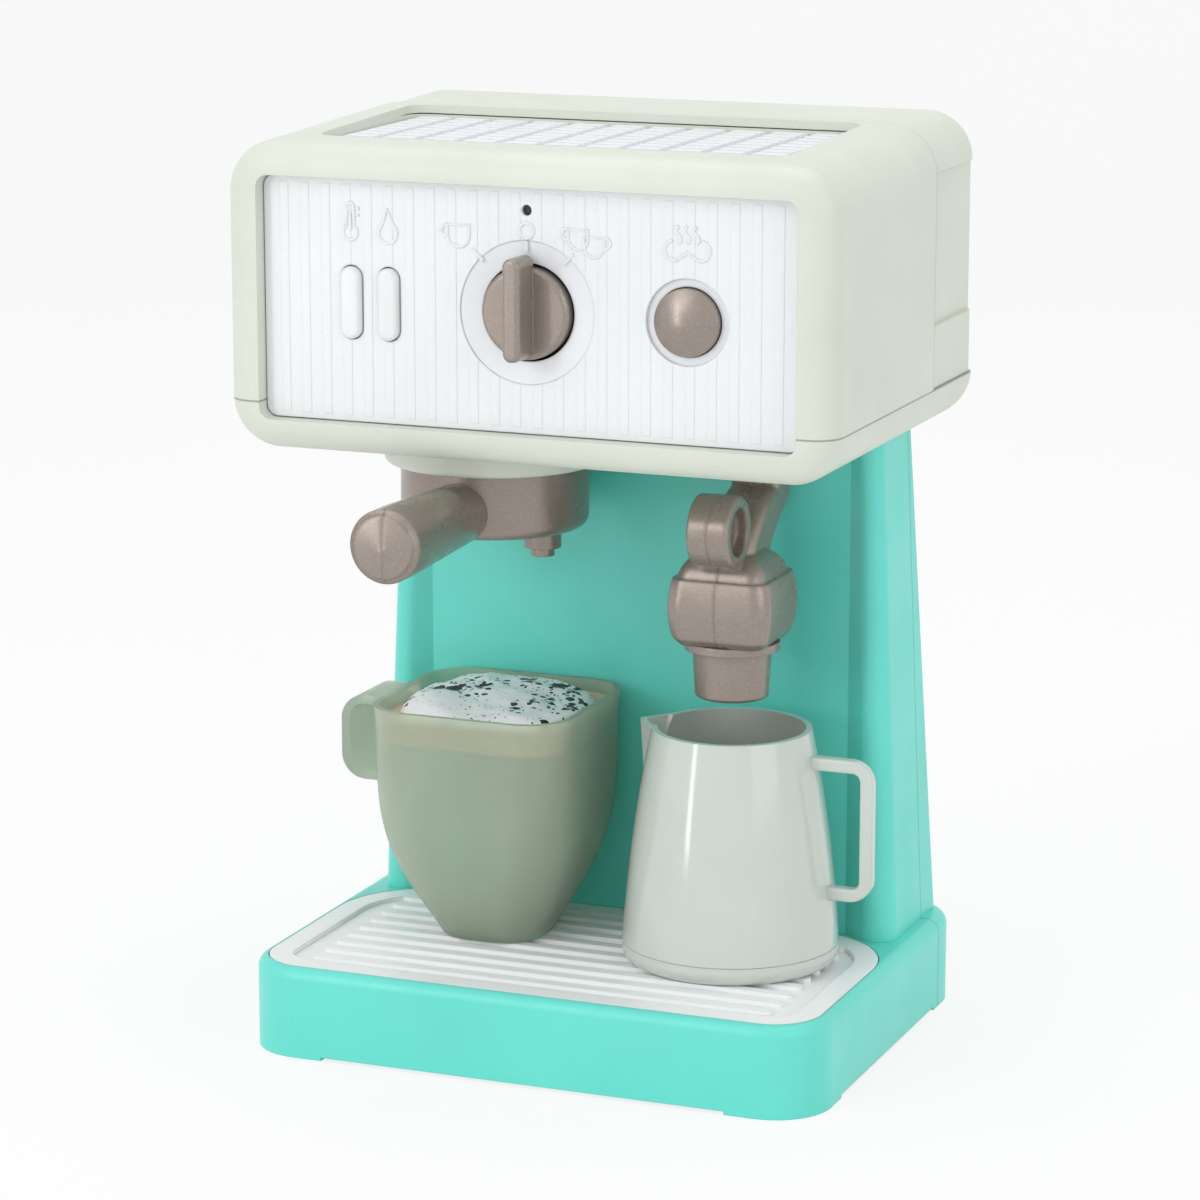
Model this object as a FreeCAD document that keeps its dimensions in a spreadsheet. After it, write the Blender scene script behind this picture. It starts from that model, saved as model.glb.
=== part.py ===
import FreeCAD, Part
import math
import os
import Sketcher
from FreeCAD import Placement, Rotation, Vector

# A toy coffee maker: a base with a drip tray, a column with a recess in front, a wide head with a
# control panel, and the portafilter, steam wand, cup and milk jug that a child plays with.
# Millimetres. The origin is the centre of the base's underside, +Z is up and the front faces -Y.

doc = FreeCAD.newDocument("toy_coffee_maker")
sheet = doc.addObject("Spreadsheet::Sheet", "Sizes")


class Size:
    """A length that knows its value and the sheet expression that gives it."""

    def __init__(self, number, text):
        self.number = number
        self.text = text

    def __add__(self, other):
        other = as_size(other)
        return Size(self.number + other.number, f"({self.text} + {other.text})")

    def __sub__(self, other):
        other = as_size(other)
        return Size(self.number - other.number, f"({self.text} - {other.text})")

    def __mul__(self, other):
        other = as_size(other)
        return Size(self.number * other.number, f"({self.text} * {other.text})")

    def __truediv__(self, other):
        other = as_size(other)
        return Size(self.number / other.number, f"({self.text} / {other.text})")

    def __neg__(self):
        return Size(-self.number, f"(-1 * {self.text})")

    def __radd__(self, other):
        return as_size(other) + self

    def __rsub__(self, other):
        return as_size(other) - self

    def __rmul__(self, other):
        return as_size(other) * self


def as_size(value):
    return value if isinstance(value, Size) else Size(float(value), repr(float(value)))


def dimension(alias, number):
    row = dimension.row
    dimension.row += 1
    sheet.set(f"A{row}", alias.replace("_", " "))
    sheet.set(f"B{row}", str(number))
    sheet.setAlias(f"B{row}", alias)
    return Size(float(number), f"Sizes.{alias}")


dimension.row = 1

# Clearances and walls
wall = dimension("wall", 2.4)
fit_gap = dimension("fit_gap", 0.3)
running_gap = dimension("running_gap", 0.08)
rest_gap = dimension("rest_gap", 0.2)

overrun = dimension("overrun", 20.0)

# Base and drip tray
base_width = dimension("base_width", 176.2)
base_depth = dimension("base_depth", 137.7)
base_height = dimension("base_height", 27.0)
base_corner = dimension("base_corner", 17.0)
base_edge = dimension("base_edge", 3.6)
foot_height = dimension("foot_height", 1.0)
foot_reach = dimension("foot_reach", 26.0)
plate_thickness = dimension("plate_thickness", 2.6)
tray_border = dimension("tray_border", 3.2)
tray_corner = dimension("tray_corner", 14.0)
tray_rear_corner = dimension("tray_rear_corner", 29.0)
tray_thickness = dimension("tray_thickness", 4.0)
tray_rim = dimension("tray_rim", 7.0)
tray_field_depth = dimension("tray_field_depth", 1.3)
tray_rib_width = dimension("tray_rib_width", 3.4)
tray_rib_pitch = dimension("tray_rib_pitch", 8.0)
tray_rib_count = 9

# Column
column_width = dimension("column_width", 165.0)
column_top_width = dimension("column_top_width", 151.6)
column_front = dimension("column_front", 13.0)
column_top_front = dimension("column_top_front", 17.0)
column_setback = dimension("column_setback", 9.85)
column_lean = dimension("column_lean", 10.0)
recess_width = dimension("recess_width", 133.0)
recess_floor = dimension("recess_floor", 23.0)
rear_cover_thickness = dimension("rear_cover_thickness", 2.4)

# Head
head_width = dimension("head_width", 182.0)
head_bottom = dimension("head_bottom", 178.0)
head_height = dimension("head_height", 91.2)
head_slope = dimension("head_slope", 4.2)
head_front = dimension("head_front", 65.0)
head_rear = dimension("head_rear", 66.0)
head_corner = dimension("head_corner", 14.5)
head_edge = dimension("head_edge", 8.0)
parting_rise = dimension("parting_rise", 13.8)
rear_seam = dimension("rear_seam", 23.0)
rear_step = dimension("rear_step", 0.8)
notch_depth = dimension("notch_depth", 1.6)
notch_height = dimension("notch_height", 44.0)
notch_rise = dimension("notch_rise", 54.0)
grille_width = dimension("grille_width", 140.0)
grille_depth = dimension("grille_depth", 66.0)
grille_middle = dimension("grille_middle", -13.0)
grille_sink = dimension("grille_sink", 0.4)
grille_thickness = dimension("grille_thickness", 2.0)
grille_corner = dimension("grille_corner", 5.0)
grille_pad_height = dimension("grille_pad_height", 1.0)
grille_pad_width = dimension("grille_pad_width", 9.6)
grille_pad_depth = dimension("grille_pad_depth", 5.4)
grille_columns = 11
grille_rows = 9

# Control panel
panel_width = dimension("panel_width", 160.2)
panel_height = dimension("panel_height", 69.0)
panel_rise = dimension("panel_rise", 9.0)
panel_corner = dimension("panel_corner", 3.5)
panel_sink = dimension("panel_sink", 4.7)
panel_thickness = dimension("panel_thickness", 2.6)
panel_rib_width = dimension("panel_rib_width", 2.6)
panel_rib_height = dimension("panel_rib_height", 0.4)
panel_rib_pitch = dimension("panel_rib_pitch", 6.4)
panel_rib_count = 24
control_rise = dimension("control_rise", 43.0)
knob_radius = dimension("knob_radius", 12.9)
knob_hole_gap = dimension("knob_hole_gap", 0.8)
knob_dish_radius = dimension("knob_dish_radius", 20.0)
knob_dish_depth = dimension("knob_dish_depth", 1.0)
knob_face = dimension("knob_face", 2.2)
knob_disc_thickness = dimension("knob_disc_thickness", 5.0)
grip_width = dimension("grip_width", 5.2)
grip_up = dimension("grip_up", 16.3)
grip_down = dimension("grip_down", 12.3)
grip_proud = dimension("grip_proud", 12.0)
shaft_radius = dimension("shaft_radius", 3.0)
button_x = dimension("button_x", 47.1)
button_radius = dimension("button_radius", 9.4)
button_dish_radius = dimension("button_dish_radius", 12.0)
button_dome = dimension("button_dome", 2.6)
button_proud = dimension("button_proud", 3.4)
button_travel = dimension("button_travel", 2.5)
lens_width = dimension("lens_width", 6.4)
lens_height = dimension("lens_height", 20.4)
lens_left = dimension("lens_left", -53.0)
lens_pitch = dimension("lens_pitch", 11.4)
lens_proud = dimension("lens_proud", 1.5)
light_radius = dimension("light_radius", 1.2)
light_rise = dimension("light_rise", 71.3)

# Brewing group and portafilter
group_x = dimension("group_x", -31.5)
group_y = dimension("group_y", -10.0)
group_radius = dimension("group_radius", 32.0)
group_drop = dimension("group_drop", 8.8)
basket_radius = dimension("basket_radius", 27.4)
basket_height = dimension("basket_height", 18.9)
basket_wall = dimension("basket_wall", 2.6)
spout_spacing = dimension("spout_spacing", 30.0)
spout_radius = dimension("spout_radius", 5.4)
spout_drop = dimension("spout_drop", 5.6)
spout_tip_radius = dimension("spout_tip_radius", 3.4)
spout_tip_drop = dimension("spout_tip_drop", 2.5)
spout_bore = dimension("spout_bore", 1.8)
handle_length = dimension("handle_length", 51.0)
handle_rise = dimension("handle_rise", 8.0)
handle_root_radius = dimension("handle_root_radius", 8.7)
handle_end_radius = dimension("handle_end_radius", 10.5)
handle_end_round = dimension("handle_end_round", 1.6)
tang_radius = dimension("tang_radius", 4.0)
tang_length = dimension("tang_length", 30.0)

# Steam wand
wand_x = dimension("wand_x", 42.3)
wand_y = dimension("wand_y", -10.0)
pivot_y = dimension("pivot_y", 14.4)
collar_bottom = dimension("collar_bottom", 121.8)
collar_height = dimension("collar_height", 19.3)
collar_width = dimension("collar_width", 31.2)
collar_rim_width = dimension("collar_rim_width", 28.8)
collar_foot_width = dimension("collar_foot_width", 25.4)
collar_corner = dimension("collar_corner", 5.0)
collar_chamfer = dimension("collar_chamfer", 2.0)
shoulder_width = dimension("shoulder_width", 26.6)
shoulder_top_width = dimension("shoulder_top_width", 16.0)
shoulder_height = dimension("shoulder_height", 6.6)
ring_radius = dimension("ring_radius", 10.5)
ring_width = dimension("ring_width", 12.4)
ring_recess_radius = dimension("ring_recess_radius", 7.0)
ring_recess_depth = dimension("ring_recess_depth", 3.6)
ring_forward = dimension("ring_forward", 11.9)
ring_rise = dimension("ring_rise", 14.6)
arm_width = dimension("arm_width", 15.0)
arm_depth = dimension("arm_depth", 12.4)
peg_radius = dimension("peg_radius", 4.5)
peg_length = dimension("peg_length", 9.0)
nozzle_radius = dimension("nozzle_radius", 11.5)
nozzle_tip_radius = dimension("nozzle_tip_radius", 10.7)
nozzle_length = dimension("nozzle_length", 14.2)
flange_radius = dimension("flange_radius", 13.8)
flange_height = dimension("flange_height", 2.4)
nozzle_bore = dimension("nozzle_bore", 7.0)

# Cup, its foam insert and the milk jug
cup_x = dimension("cup_x", -31.2)
cup_y = dimension("cup_y", -9.5)
cup_height = dimension("cup_height", 71.0)
cup_rim = dimension("cup_rim", 62.4)
cup_foot = dimension("cup_foot", 31.0)
cup_wall = dimension("cup_wall", 2.0)
cup_handle_reach = dimension("cup_handle_reach", 15.0)
cup_handle_height = dimension("cup_handle_height", 25.5)
cup_handle_width = dimension("cup_handle_width", 20.0)
cup_handle_thickness = dimension("cup_handle_thickness", 2.6)
foam_sink = dimension("foam_sink", 10.0)
foam_edge_sink = dimension("foam_edge_sink", 3.5)
foam_crown = dimension("foam_crown", 7.0)
jug_x = dimension("jug_x", 42.3)
jug_y = dimension("jug_y", -9.8)
jug_height = dimension("jug_height", 68.8)
jug_mouth_radius = dimension("jug_mouth_radius", 23.2)
jug_belly_radius = dimension("jug_belly_radius", 31.6)
jug_belly_rise = dimension("jug_belly_rise", 5.6)
jug_foot_radius = dimension("jug_foot_radius", 29.4)
jug_wall = dimension("jug_wall", 1.8)
jug_spout_reach = dimension("jug_spout_reach", 4.2)
jug_handle_reach = dimension("jug_handle_reach", 43.4)
jug_handle_top = dimension("jug_handle_top", 62.4)
jug_handle_foot = dimension("jug_handle_foot", 20.4)
jug_handle_bar = dimension("jug_handle_bar", 3.9)

doc.recompute()

# Places worked out from the sizes
tray_width = base_width - 2 * tray_border
column_rear = base_depth / 2 - column_setback
column_top_rear = column_rear - column_lean
tray_front = base_depth / 2 - tray_border
tray_rear = recess_floor - fit_gap
tray_length = tray_front + tray_rear
tray_middle = (tray_rear - tray_front) / 2
column_height = head_bottom - base_height
head_depth = head_front + head_rear
head_top = head_bottom + head_height - head_slope
parting = head_bottom + parting_rise
panel_middle = head_bottom + panel_rise + panel_height / 2
panel_plane = head_front - panel_sink
panel_back = panel_plane - panel_thickness
control_z = head_bottom + control_rise
group_bottom = head_bottom - group_drop
basket_top = group_bottom - fit_gap
basket_bottom = basket_top - basket_height
handle_z = basket_bottom + handle_rise
collar_top = collar_bottom + collar_height
cup_base = base_height + rest_gap
jug_base = base_height + rest_gap
axis_x = Vector(1, 0, 0)
axis_y = Vector(0, 1, 0)
axis_z = Vector(0, 0, 1)


# Helpers that make and place objects

def bind(thing, name, size):
    thing.setExpression(name, as_size(size).text)


def place(thing, x=0, y=0, z=0, rotation=None):
    if rotation is not None:
        thing.Placement = Placement(Vector(0, 0, 0), rotation)
    for letter, size in (("x", x), ("y", y), ("z", z)):
        bind(thing, f"Placement.Base.{letter}", size)


def box(label, corner, length, width, height):
    thing = doc.addObject("Part::Box", label)
    bind(thing, "Length", length)
    bind(thing, "Width", width)
    bind(thing, "Height", height)
    place(thing, *corner)
    return thing


def cylinder(label, base, radius, height, rotation=None):
    thing = doc.addObject("Part::Cylinder", label)
    bind(thing, "Radius", radius)
    bind(thing, "Height", height)
    place(thing, *base, rotation=rotation)
    return thing


def cut(label, base, *tools):
    for number, tool in enumerate(tools):
        last = number == len(tools) - 1
        result = doc.addObject("Part::Cut", label if last else f"{label}_cut_{number}")
        result.Base = base
        result.Tool = tool
        base = result
    return base


def fuse(label, *shapes):
    result = doc.addObject("Part::MultiFuse", label)
    result.Shapes = list(shapes)
    result.Refine = True
    return result


def common(label, base, tool):
    result = doc.addObject("Part::Common", label)
    result.Base = base
    result.Tool = tool
    return result


def compound(label, shapes):
    result = doc.addObject("Part::Compound", label)
    result.Links = shapes
    return result


QUARTER_RISE = 1 - math.sqrt(0.5)
FACING_FRONT = Rotation(axis_x, 90)
FACING_REAR = Rotation(axis_x, -90)


def new_body(label):
    body = doc.addObject("PartDesign::Body", label)
    body.Label = label
    return body


def sketch_on(body, role, name, across=0, up=0, out=0):
    sketch = body.newObject("Sketcher::SketchObject", name)
    planes = [plane for plane in body.Origin.OriginFeatures if plane.Role == role]
    sketch.AttachmentSupport = [(planes[0], "")]
    sketch.MapMode = "FlatFace"
    for letter, size in (("x", across), ("y", up), ("z", out)):
        bind(sketch, f"AttachmentOffset.Base.{letter}", size)
    return sketch


def constrain(sketch, name, size, *arguments):
    index = sketch.addConstraint(Sketcher.Constraint(*arguments, as_size(size).number))
    sketch.renameConstraint(index, name)
    bind(sketch, f"Constraints.{name}", size)


def rounded_rectangle(sketch, width, height, radius):
    """A rounded rectangle about the sketch's origin."""
    w = as_size(width).number / 2
    v = as_size(height).number / 2
    r = as_size(radius).number
    turn = math.pi / 2
    corners = ((w - r, r - v, -turn, 0), (w - r, v - r, 0, turn), (r - w, v - r, turn, 2 * turn),
               (r - w, r - v, 2 * turn, 3 * turn))
    arcs = []
    for x, y, start, end in corners:
        circle = Part.Circle(Vector(x, y, 0), axis_z, r)
        arcs.append(sketch.addGeometry(Part.ArcOfCircle(circle, start, end), False))
    ends = (((w, r - v), (w, v - r)), ((w - r, v), (r - w, v)), ((-w, v - r), (-w, r - v)),
            ((r - w, -v), (w - r, -v)))
    lines = []
    for start, end in ends:
        segment = Part.LineSegment(Vector(*start, 0), Vector(*end, 0))
        lines.append(sketch.addGeometry(segment, False))
    for number in range(4):
        sketch.addConstraint(Sketcher.Constraint("Tangent", arcs[number], 2, lines[number], 1))
        after = arcs[(number + 1) % 4]
        sketch.addConstraint(Sketcher.Constraint("Tangent", lines[number], 2, after, 1))
    for number in (0, 2):
        sketch.addConstraint(Sketcher.Constraint("Vertical", lines[number]))
        sketch.addConstraint(Sketcher.Constraint("Horizontal", lines[number + 1]))
    for number in (1, 2, 3):
        sketch.addConstraint(Sketcher.Constraint("Equal", arcs[0], arcs[number]))
    sketch.addConstraint(Sketcher.Constraint("Symmetric", arcs[0], 3, arcs[2], 3, -1, 1))
    constrain(sketch, "width", width, "DistanceX", lines[2], 1, lines[0], 1)
    constrain(sketch, "height", height, "DistanceY", lines[3], 1, lines[1], 1)
    constrain(sketch, "radius", radius, "Radius", arcs[0])
    return sketch


def circle(sketch, radius, x=0, y=0, name="circle"):
    place_x = as_size(x)
    place_y = as_size(y)
    number = as_size(radius).number
    item = sketch.addGeometry(Part.Circle(Vector(place_x.number, place_y.number, 0), axis_z, number), False)
    constrain(sketch, f"{name}_x", place_x, "DistanceX", -1, 1, item, 3)
    constrain(sketch, f"{name}_y", place_y, "DistanceY", -1, 1, item, 3)
    constrain(sketch, f"{name}_radius", radius, "Radius", item)
    return item


def outline(sketch, points, bulges=None):
    """A closed outline through points; a bulge turns the run after its point into an arc."""
    bulges = bulges or {}
    places = [(as_size(x), as_size(y)) for x, y in points]
    items = []
    ends = []
    for number, (x, y) in enumerate(places):
        after = places[(number + 1) % len(places)]
        start = Vector(x.number, y.number, 0)
        end = Vector(after[0].number, after[1].number, 0)
        if number in bulges:
            side = (end - start).cross(axis_z)
            side.normalize()
            rise = as_size(bulges[number]).number
            middle = (start + end) / 2 + side * rise
            arc = Part.Arc(start, middle, end) if rise > 0 else Part.Arc(end, middle, start)
            items.append(sketch.addGeometry(arc, False))
            ends.append((1, 2) if rise > 0 else (2, 1))
        else:
            items.append(sketch.addGeometry(Part.LineSegment(start, end), False))
            ends.append((1, 2))
    for number, item in enumerate(items):
        following = (number + 1) % len(items)
        sketch.addConstraint(Sketcher.Constraint(
            "Coincident", item, ends[number][1], items[following], ends[following][0]))
        x, y = places[number]
        constrain(sketch, f"x{number}", x, "DistanceX", -1, 1, item, ends[number][0])
        constrain(sketch, f"y{number}", y, "DistanceY", -1, 1, item, ends[number][0])
        if number in bulges:
            radius = arc_radius(x, y, *places[(number + 1) % len(places)], bulges[number])
            constrain(sketch, f"radius{number}", radius, "Radius", item)
    return sketch


def rectangle(sketch, width, height):
    """A rectangle about the sketch's origin."""
    x = width / 2
    y = height / 2
    return outline(sketch, [(-x, -y), (x, -y), (x, y), (-x, y)])


def arc_radius(x1, y1, x2, y2, bulge):
    """The radius of an arc over a chord, from the height that it bulges."""
    bulge = as_size(bulge)
    chord_squared = (x2 - x1) * (x2 - x1) + (y2 - y1) * (y2 - y1)
    rise = bulge if bulge.number > 0 else -bulge
    return (chord_squared / 4 + rise * rise) / (2 * rise)


def pad(body, sketch, length, name="Pad", both=False, back=False):
    feature = body.newObject("PartDesign::Pad", name)
    feature.Profile = sketch
    feature.Midplane = both
    feature.Reversed = back
    bind(feature, "Length", length)
    body.Tip = feature
    return feature


def pocket(body, sketch, length, name="Pocket", back=False):
    feature = body.newObject("PartDesign::Pocket", name)
    feature.Profile = sketch
    feature.Reversed = back
    bind(feature, "Length", length)
    body.Tip = feature
    return feature


def revolve(body, sketch, axis="V_Axis", groove=False, name="Turned"):
    kind = "PartDesign::Groove" if groove else "PartDesign::Revolution"
    feature = body.newObject(kind, name)
    feature.Profile = sketch
    feature.ReferenceAxis = (sketch, [axis])
    feature.Angle = 360
    body.Tip = feature
    return feature


def row_of(body, feature, sketch, axis, length, count, name="Row"):
    pattern = body.newObject("PartDesign::LinearPattern", name)
    pattern.Originals = [feature]
    pattern.Direction = (sketch, [axis])
    bind(pattern, "Length", length)
    pattern.Occurrences = count
    body.Tip = pattern
    return pattern


def round_edges(body, radius, wanted, name="Rounded"):
    """Fillets the edges of the body's last feature for which wanted(edge) holds."""
    doc.recompute()
    base = body.Tip
    names = [f"Edge{number + 1}" for number, edge in enumerate(base.Shape.Edges) if wanted(edge)]
    feature = body.newObject("PartDesign::Fillet", name)
    feature.Base = (base, names)
    bind(feature, "Radius", radius)
    body.Tip = feature
    return feature


def level(axis, size):
    """Picks edges that lie wholly at one height along an axis."""
    number = as_size(size).number

    def wanted(edge):
        bounds = edge.BoundBox
        low = getattr(bounds, f"{axis}Min")
        high = getattr(bounds, f"{axis}Max")
        return abs(low - number) < 0.01 and abs(high - number) < 0.01

    return wanted


def ring_of(label, base, outer, inner, height, rotation=None):
    """A plain ring or bush."""
    outside = cylinder(f"{label}_outside", base, outer, height, rotation)
    inside = cylinder(f"{label}_inside", base, inner, height, rotation)
    return cut(label, outside, inside)


def pin_row(label, places, base_z, radius, head_radius, length, head_height):
    """Identical screws that stand on their heads, one solid each."""
    screws = []
    for number, (x, y) in enumerate(places):
        head = cylinder(f"{label}_head_{number}", (x, y, base_z), head_radius, head_height)
        shank = cylinder(f"{label}_shank_{number}", (x, y, base_z), radius, length)
        screws.append(fuse(f"{label}_{number}", head, shank))
    return compound(label, screws)


# Base

def base_post_places():
    reach_x = base_width / 2 - base_corner
    reach_y = base_depth / 2 - base_corner
    return [(side_x * reach_x, side_y * reach_y) for side_x in (-1, 1) for side_y in (-1, 1)]


post_radius = dimension("post_radius", 4.0)
screw_radius = dimension("screw_radius", 1.3)
screw_head_radius = dimension("screw_head_radius", 2.8)
screw_head_height = dimension("screw_head_height", 1.4)
screw_length = dimension("screw_length", 9.0)


def make_base_shell():
    body = new_body("base_shell")
    sketch = rounded_rectangle(sketch_on(body, "XY_Plane", "base_outline"), base_width, base_depth, base_corner)
    pad(body, sketch, base_height, "Block")
    round_edges(body, base_edge, level("Z", base_height), "TopEdge")
    inner = rounded_rectangle(sketch_on(body, "XY_Plane", "base_inside"), base_width - 2 * wall,
                              base_depth - 2 * wall, base_corner - wall)
    cavity_height = base_height - tray_thickness - wall
    pocket(body, inner, cavity_height, "Cavity", back=True)
    for name, width, depth in (("side_gap", base_width - 2 * foot_reach, base_depth + wall),
                               ("front_gap", base_width + wall, base_depth - 2 * foot_reach)):
        gap = rounded_rectangle(sketch_on(body, "XY_Plane", name), width, depth, foot_height)
        pocket(body, gap, foot_height, name.title(), back=True)
    posts = sketch_on(body, "XY_Plane", "posts", out=plate_thickness)
    for number, (x, y) in enumerate(base_post_places()):
        circle(posts, post_radius, x, y, f"post{number}")
    pad(body, posts, cavity_height - plate_thickness, "Posts")
    holes = sketch_on(body, "XY_Plane", "post_holes", out=foot_height)
    for number, (x, y) in enumerate(base_post_places()):
        circle(holes, screw_radius + running_gap, x, y, f"hole{number}")
    pocket(body, holes, screw_length + rest_gap, "PostHoles", back=True)
    tray_seat = sketch_on(body, "XY_Plane", "tray_seat", out=base_height)
    tray_outline(tray_seat, fit_gap)
    pocket(body, tray_seat, tray_thickness, "TraySeat")
    return body


def tray_outline(sketch, grow):
    """The tray's outline, whose rear corners turn wide in front of the column's wings."""
    x = tray_width / 2 + grow
    front = -tray_front - grow
    rear = tray_rear + grow
    near = tray_corner + grow
    far = tray_rear_corner + grow
    return outline(sketch, [
        (near - x, front), (x - near, front), (x, front + near), (x, rear - far), (x - far, rear),
        (far - x, rear), (-x, rear - far), (-x, front + near)],
        {1: near * QUARTER_RISE, 3: far * QUARTER_RISE, 5: far * QUARTER_RISE, 7: near * QUARTER_RISE})


def make_base_plate():
    body = new_body("base_plate")
    width = base_width - 2 * wall - 2 * fit_gap
    depth = base_depth - 2 * wall - 2 * fit_gap
    sketch = rounded_rectangle(sketch_on(body, "XY_Plane", "plate"), width, depth,
                               base_corner - wall - fit_gap)
    pad(body, sketch, plate_thickness - rest_gap, "Plate")
    for name, radius, deep in (("through", screw_radius + fit_gap, plate_thickness),
                               ("counterbore", screw_head_radius + fit_gap, screw_head_height)):
        holes = sketch_on(body, "XY_Plane", name)
        for number, (x, y) in enumerate(base_post_places()):
            circle(holes, radius, x, y, f"hole{number}")
        pocket(body, holes, deep, name.title(), back=True)
    return body


def make_base_screws():
    return pin_row("base_screws", base_post_places(), rest_gap, screw_radius, screw_head_radius,
                   screw_length, screw_head_height - rest_gap)


def make_drip_tray():
    body = new_body("drip_tray")
    bottom = base_height - tray_thickness
    tray_edge = sketch_on(body, "XY_Plane", "tray_edge", out=bottom)
    tray_outline(tray_edge, 0)
    pad(body, tray_edge, tray_thickness, "Plate")
    field_width = tray_width - 2 * tray_rim
    field = sketch_on(body, "XY_Plane", "field", out=base_height)
    tray_outline(field, -tray_rim)
    pocket(body, field, tray_field_depth, "Field")
    row_length = tray_rib_pitch * (tray_rib_count - 1)
    rib = sketch_on(body, "XY_Plane", "rib", up=tray_middle - row_length / 2,
                    out=base_height - tray_field_depth)
    rounded_rectangle(rib, field_width - 4 * tray_rib_width, tray_rib_width, tray_rib_width / 2.2)
    ribs = pad(body, rib, tray_field_depth, "Rib")
    row_of(body, ribs, rib, "V_Axis", row_length, tray_rib_count, "Ribs")
    return body


# Column

def column_outline(sketch, width, front, rear, share):
    """The column's channel: a flat recess, slanted wings with a round nose and two side walls."""
    half = width / 2
    recess = recess_width / 2
    inner = half - wall
    slope = recess_floor - front
    wing_x = half - (half - recess) * share
    wing_y = front + slope * share
    side_y = front + slope * share * 1.87
    nose = slope * share * 0.53
    outline(sketch, [
        (recess, recess_floor), (-recess, recess_floor), (-wing_x, wing_y), (-half, side_y),
        (-half, rear), (-inner, rear), (-inner, recess_floor + wall / 2),
        (-recess, recess_floor + wall), (recess, recess_floor + wall),
        (inner, recess_floor + wall / 2), (inner, rear), (half, rear), (half, side_y),
        (wing_x, wing_y)],
        {2: -nose, 12: -nose})


def loft(body, first, second, name="Loft"):
    feature = body.newObject("PartDesign::AdditiveLoft", name)
    feature.Profile = first
    feature.Sections = [second]
    feature.Ruled = True
    body.Tip = feature
    return feature


def make_column_shell():
    body = new_body("column_shell")
    low = sketch_on(body, "XY_Plane", "column_foot", out=base_height)
    column_outline(low, column_width, column_front, column_rear, 0.58)
    high = sketch_on(body, "XY_Plane", "column_head", out=head_bottom)
    column_outline(high, column_top_width, column_top_front, column_top_rear, 0.68)
    loft(body, low, high, "Channel")
    return body


def make_column_rear_cover():
    body = new_body("column_rear_cover")
    sketches = []
    for name, width, rear, level_z in (
            ("cover_foot", column_width, column_rear, base_height),
            ("cover_head", column_top_width, column_top_rear, head_bottom)):
        sketch = sketch_on(body, "XY_Plane", name, up=rear - rear_cover_thickness / 2, out=level_z)
        rounded_rectangle(sketch, width - 2 * wall - 2 * fit_gap, rear_cover_thickness,
                          rear_cover_thickness / 5)
        sketches.append(sketch)
    loft(body, sketches[0], sketches[1], "Cover")
    return body


# Head

def head_block(label, inset, near, far, edge_radius):
    """A rounded block, lower in front, with the head's outline, from y = -near to y = far."""
    body = new_body(label)
    near = as_size(near)
    far = as_size(far)
    side = sketch_on(body, "YZ_Plane", f"{label}_side", up=head_bottom)
    outline(side, [
        (-near, as_size(inset)), (far, as_size(inset)),
        (far, head_height - head_slope * (head_rear - far) / head_depth - inset),
        (-near, head_height - head_slope * (head_rear + near) / head_depth - inset)])
    pad(body, side, head_width - 2 * inset, "Block", both=True)

    def along_side(edge):
        return edge.BoundBox.YLength > 30 and edge.BoundBox.XLength < 0.01

    round_edges(body, head_corner - inset, along_side, "Corners")
    if edge_radius is not None:
        number_near = -as_size(near).number
        number_far = as_size(far).number

        def end_loop(edge):
            return level("Y", number_near)(edge) or level("Y", number_far)(edge)

        round_edges(body, edge_radius, end_loop, "Ends")
    return body


def panel_opening(label):
    body = new_body(label)
    sketch = sketch_on(body, "XZ_Plane", f"{label}_outline", up=panel_middle, out=panel_back - wall)
    rounded_rectangle(sketch, panel_width, panel_height, panel_corner)
    pad(body, sketch, head_depth, "Opening")
    return body


def grille_block(label, gap, height, low):
    body = new_body(label)
    sketch = sketch_on(body, "XY_Plane", f"{label}_outline", up=grille_middle, out=low)
    rounded_rectangle(sketch, grille_width + 2 * gap, grille_depth + 2 * gap, grille_corner + gap)
    pad(body, sketch, height, "Block")
    return body


grille_floor = head_top - grille_sink - grille_pad_height - grille_thickness
frame_depth = panel_sink + panel_thickness


def make_head_upper_shell():
    form = head_block("upper_form", 0, head_front, head_rear, head_edge)
    keep = box("upper_keep", (-head_width, -head_front - overrun, parting), 2 * head_width,
               head_front + overrun + rear_seam, head_height)
    cavity = head_block("upper_cavity", wall, head_front - frame_depth, head_rear + wall, None)
    hollow = cut("upper_hollow", common("upper_part", form, keep), cavity)
    well = grille_block("grille_well", wall + fit_gap, head_top - grille_floor + wall, grille_floor - wall)
    seat = grille_block("grille_seat", fit_gap, grille_sink + overrun, grille_floor)
    walled = fuse("upper_walled", hollow, well)
    return cut("head_upper_shell", walled, seat, panel_opening("upper_opening"))


wand_hole_gap = dimension("wand_hole_gap", 0.08)


def make_head_lower_shell():
    form = head_block("lower_form", 0, head_front, head_rear, head_edge)
    keep = box("lower_keep", (-head_width, -head_front - overrun, head_bottom - overrun), 2 * head_width,
               head_depth + 2 * overrun, parting_rise + overrun)
    cavity = head_block("lower_cavity", wall, head_front - frame_depth, head_rear - wall, None)
    hollow = cut("lower_hollow", common("lower_part", form, keep), cavity)
    boss = cylinder("pivot_boss", (wand_x, pivot_y, head_bottom + wall / 2), peg_radius + 2.5,
                    peg_length - wall)
    hole = cylinder("pivot_hole", (wand_x, pivot_y, head_bottom - overrun), peg_radius + wand_hole_gap,
                    2 * overrun)
    bossed = fuse("lower_bossed", hollow, boss)
    return cut("head_lower_shell", bossed, hole, panel_opening("lower_opening"))


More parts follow.
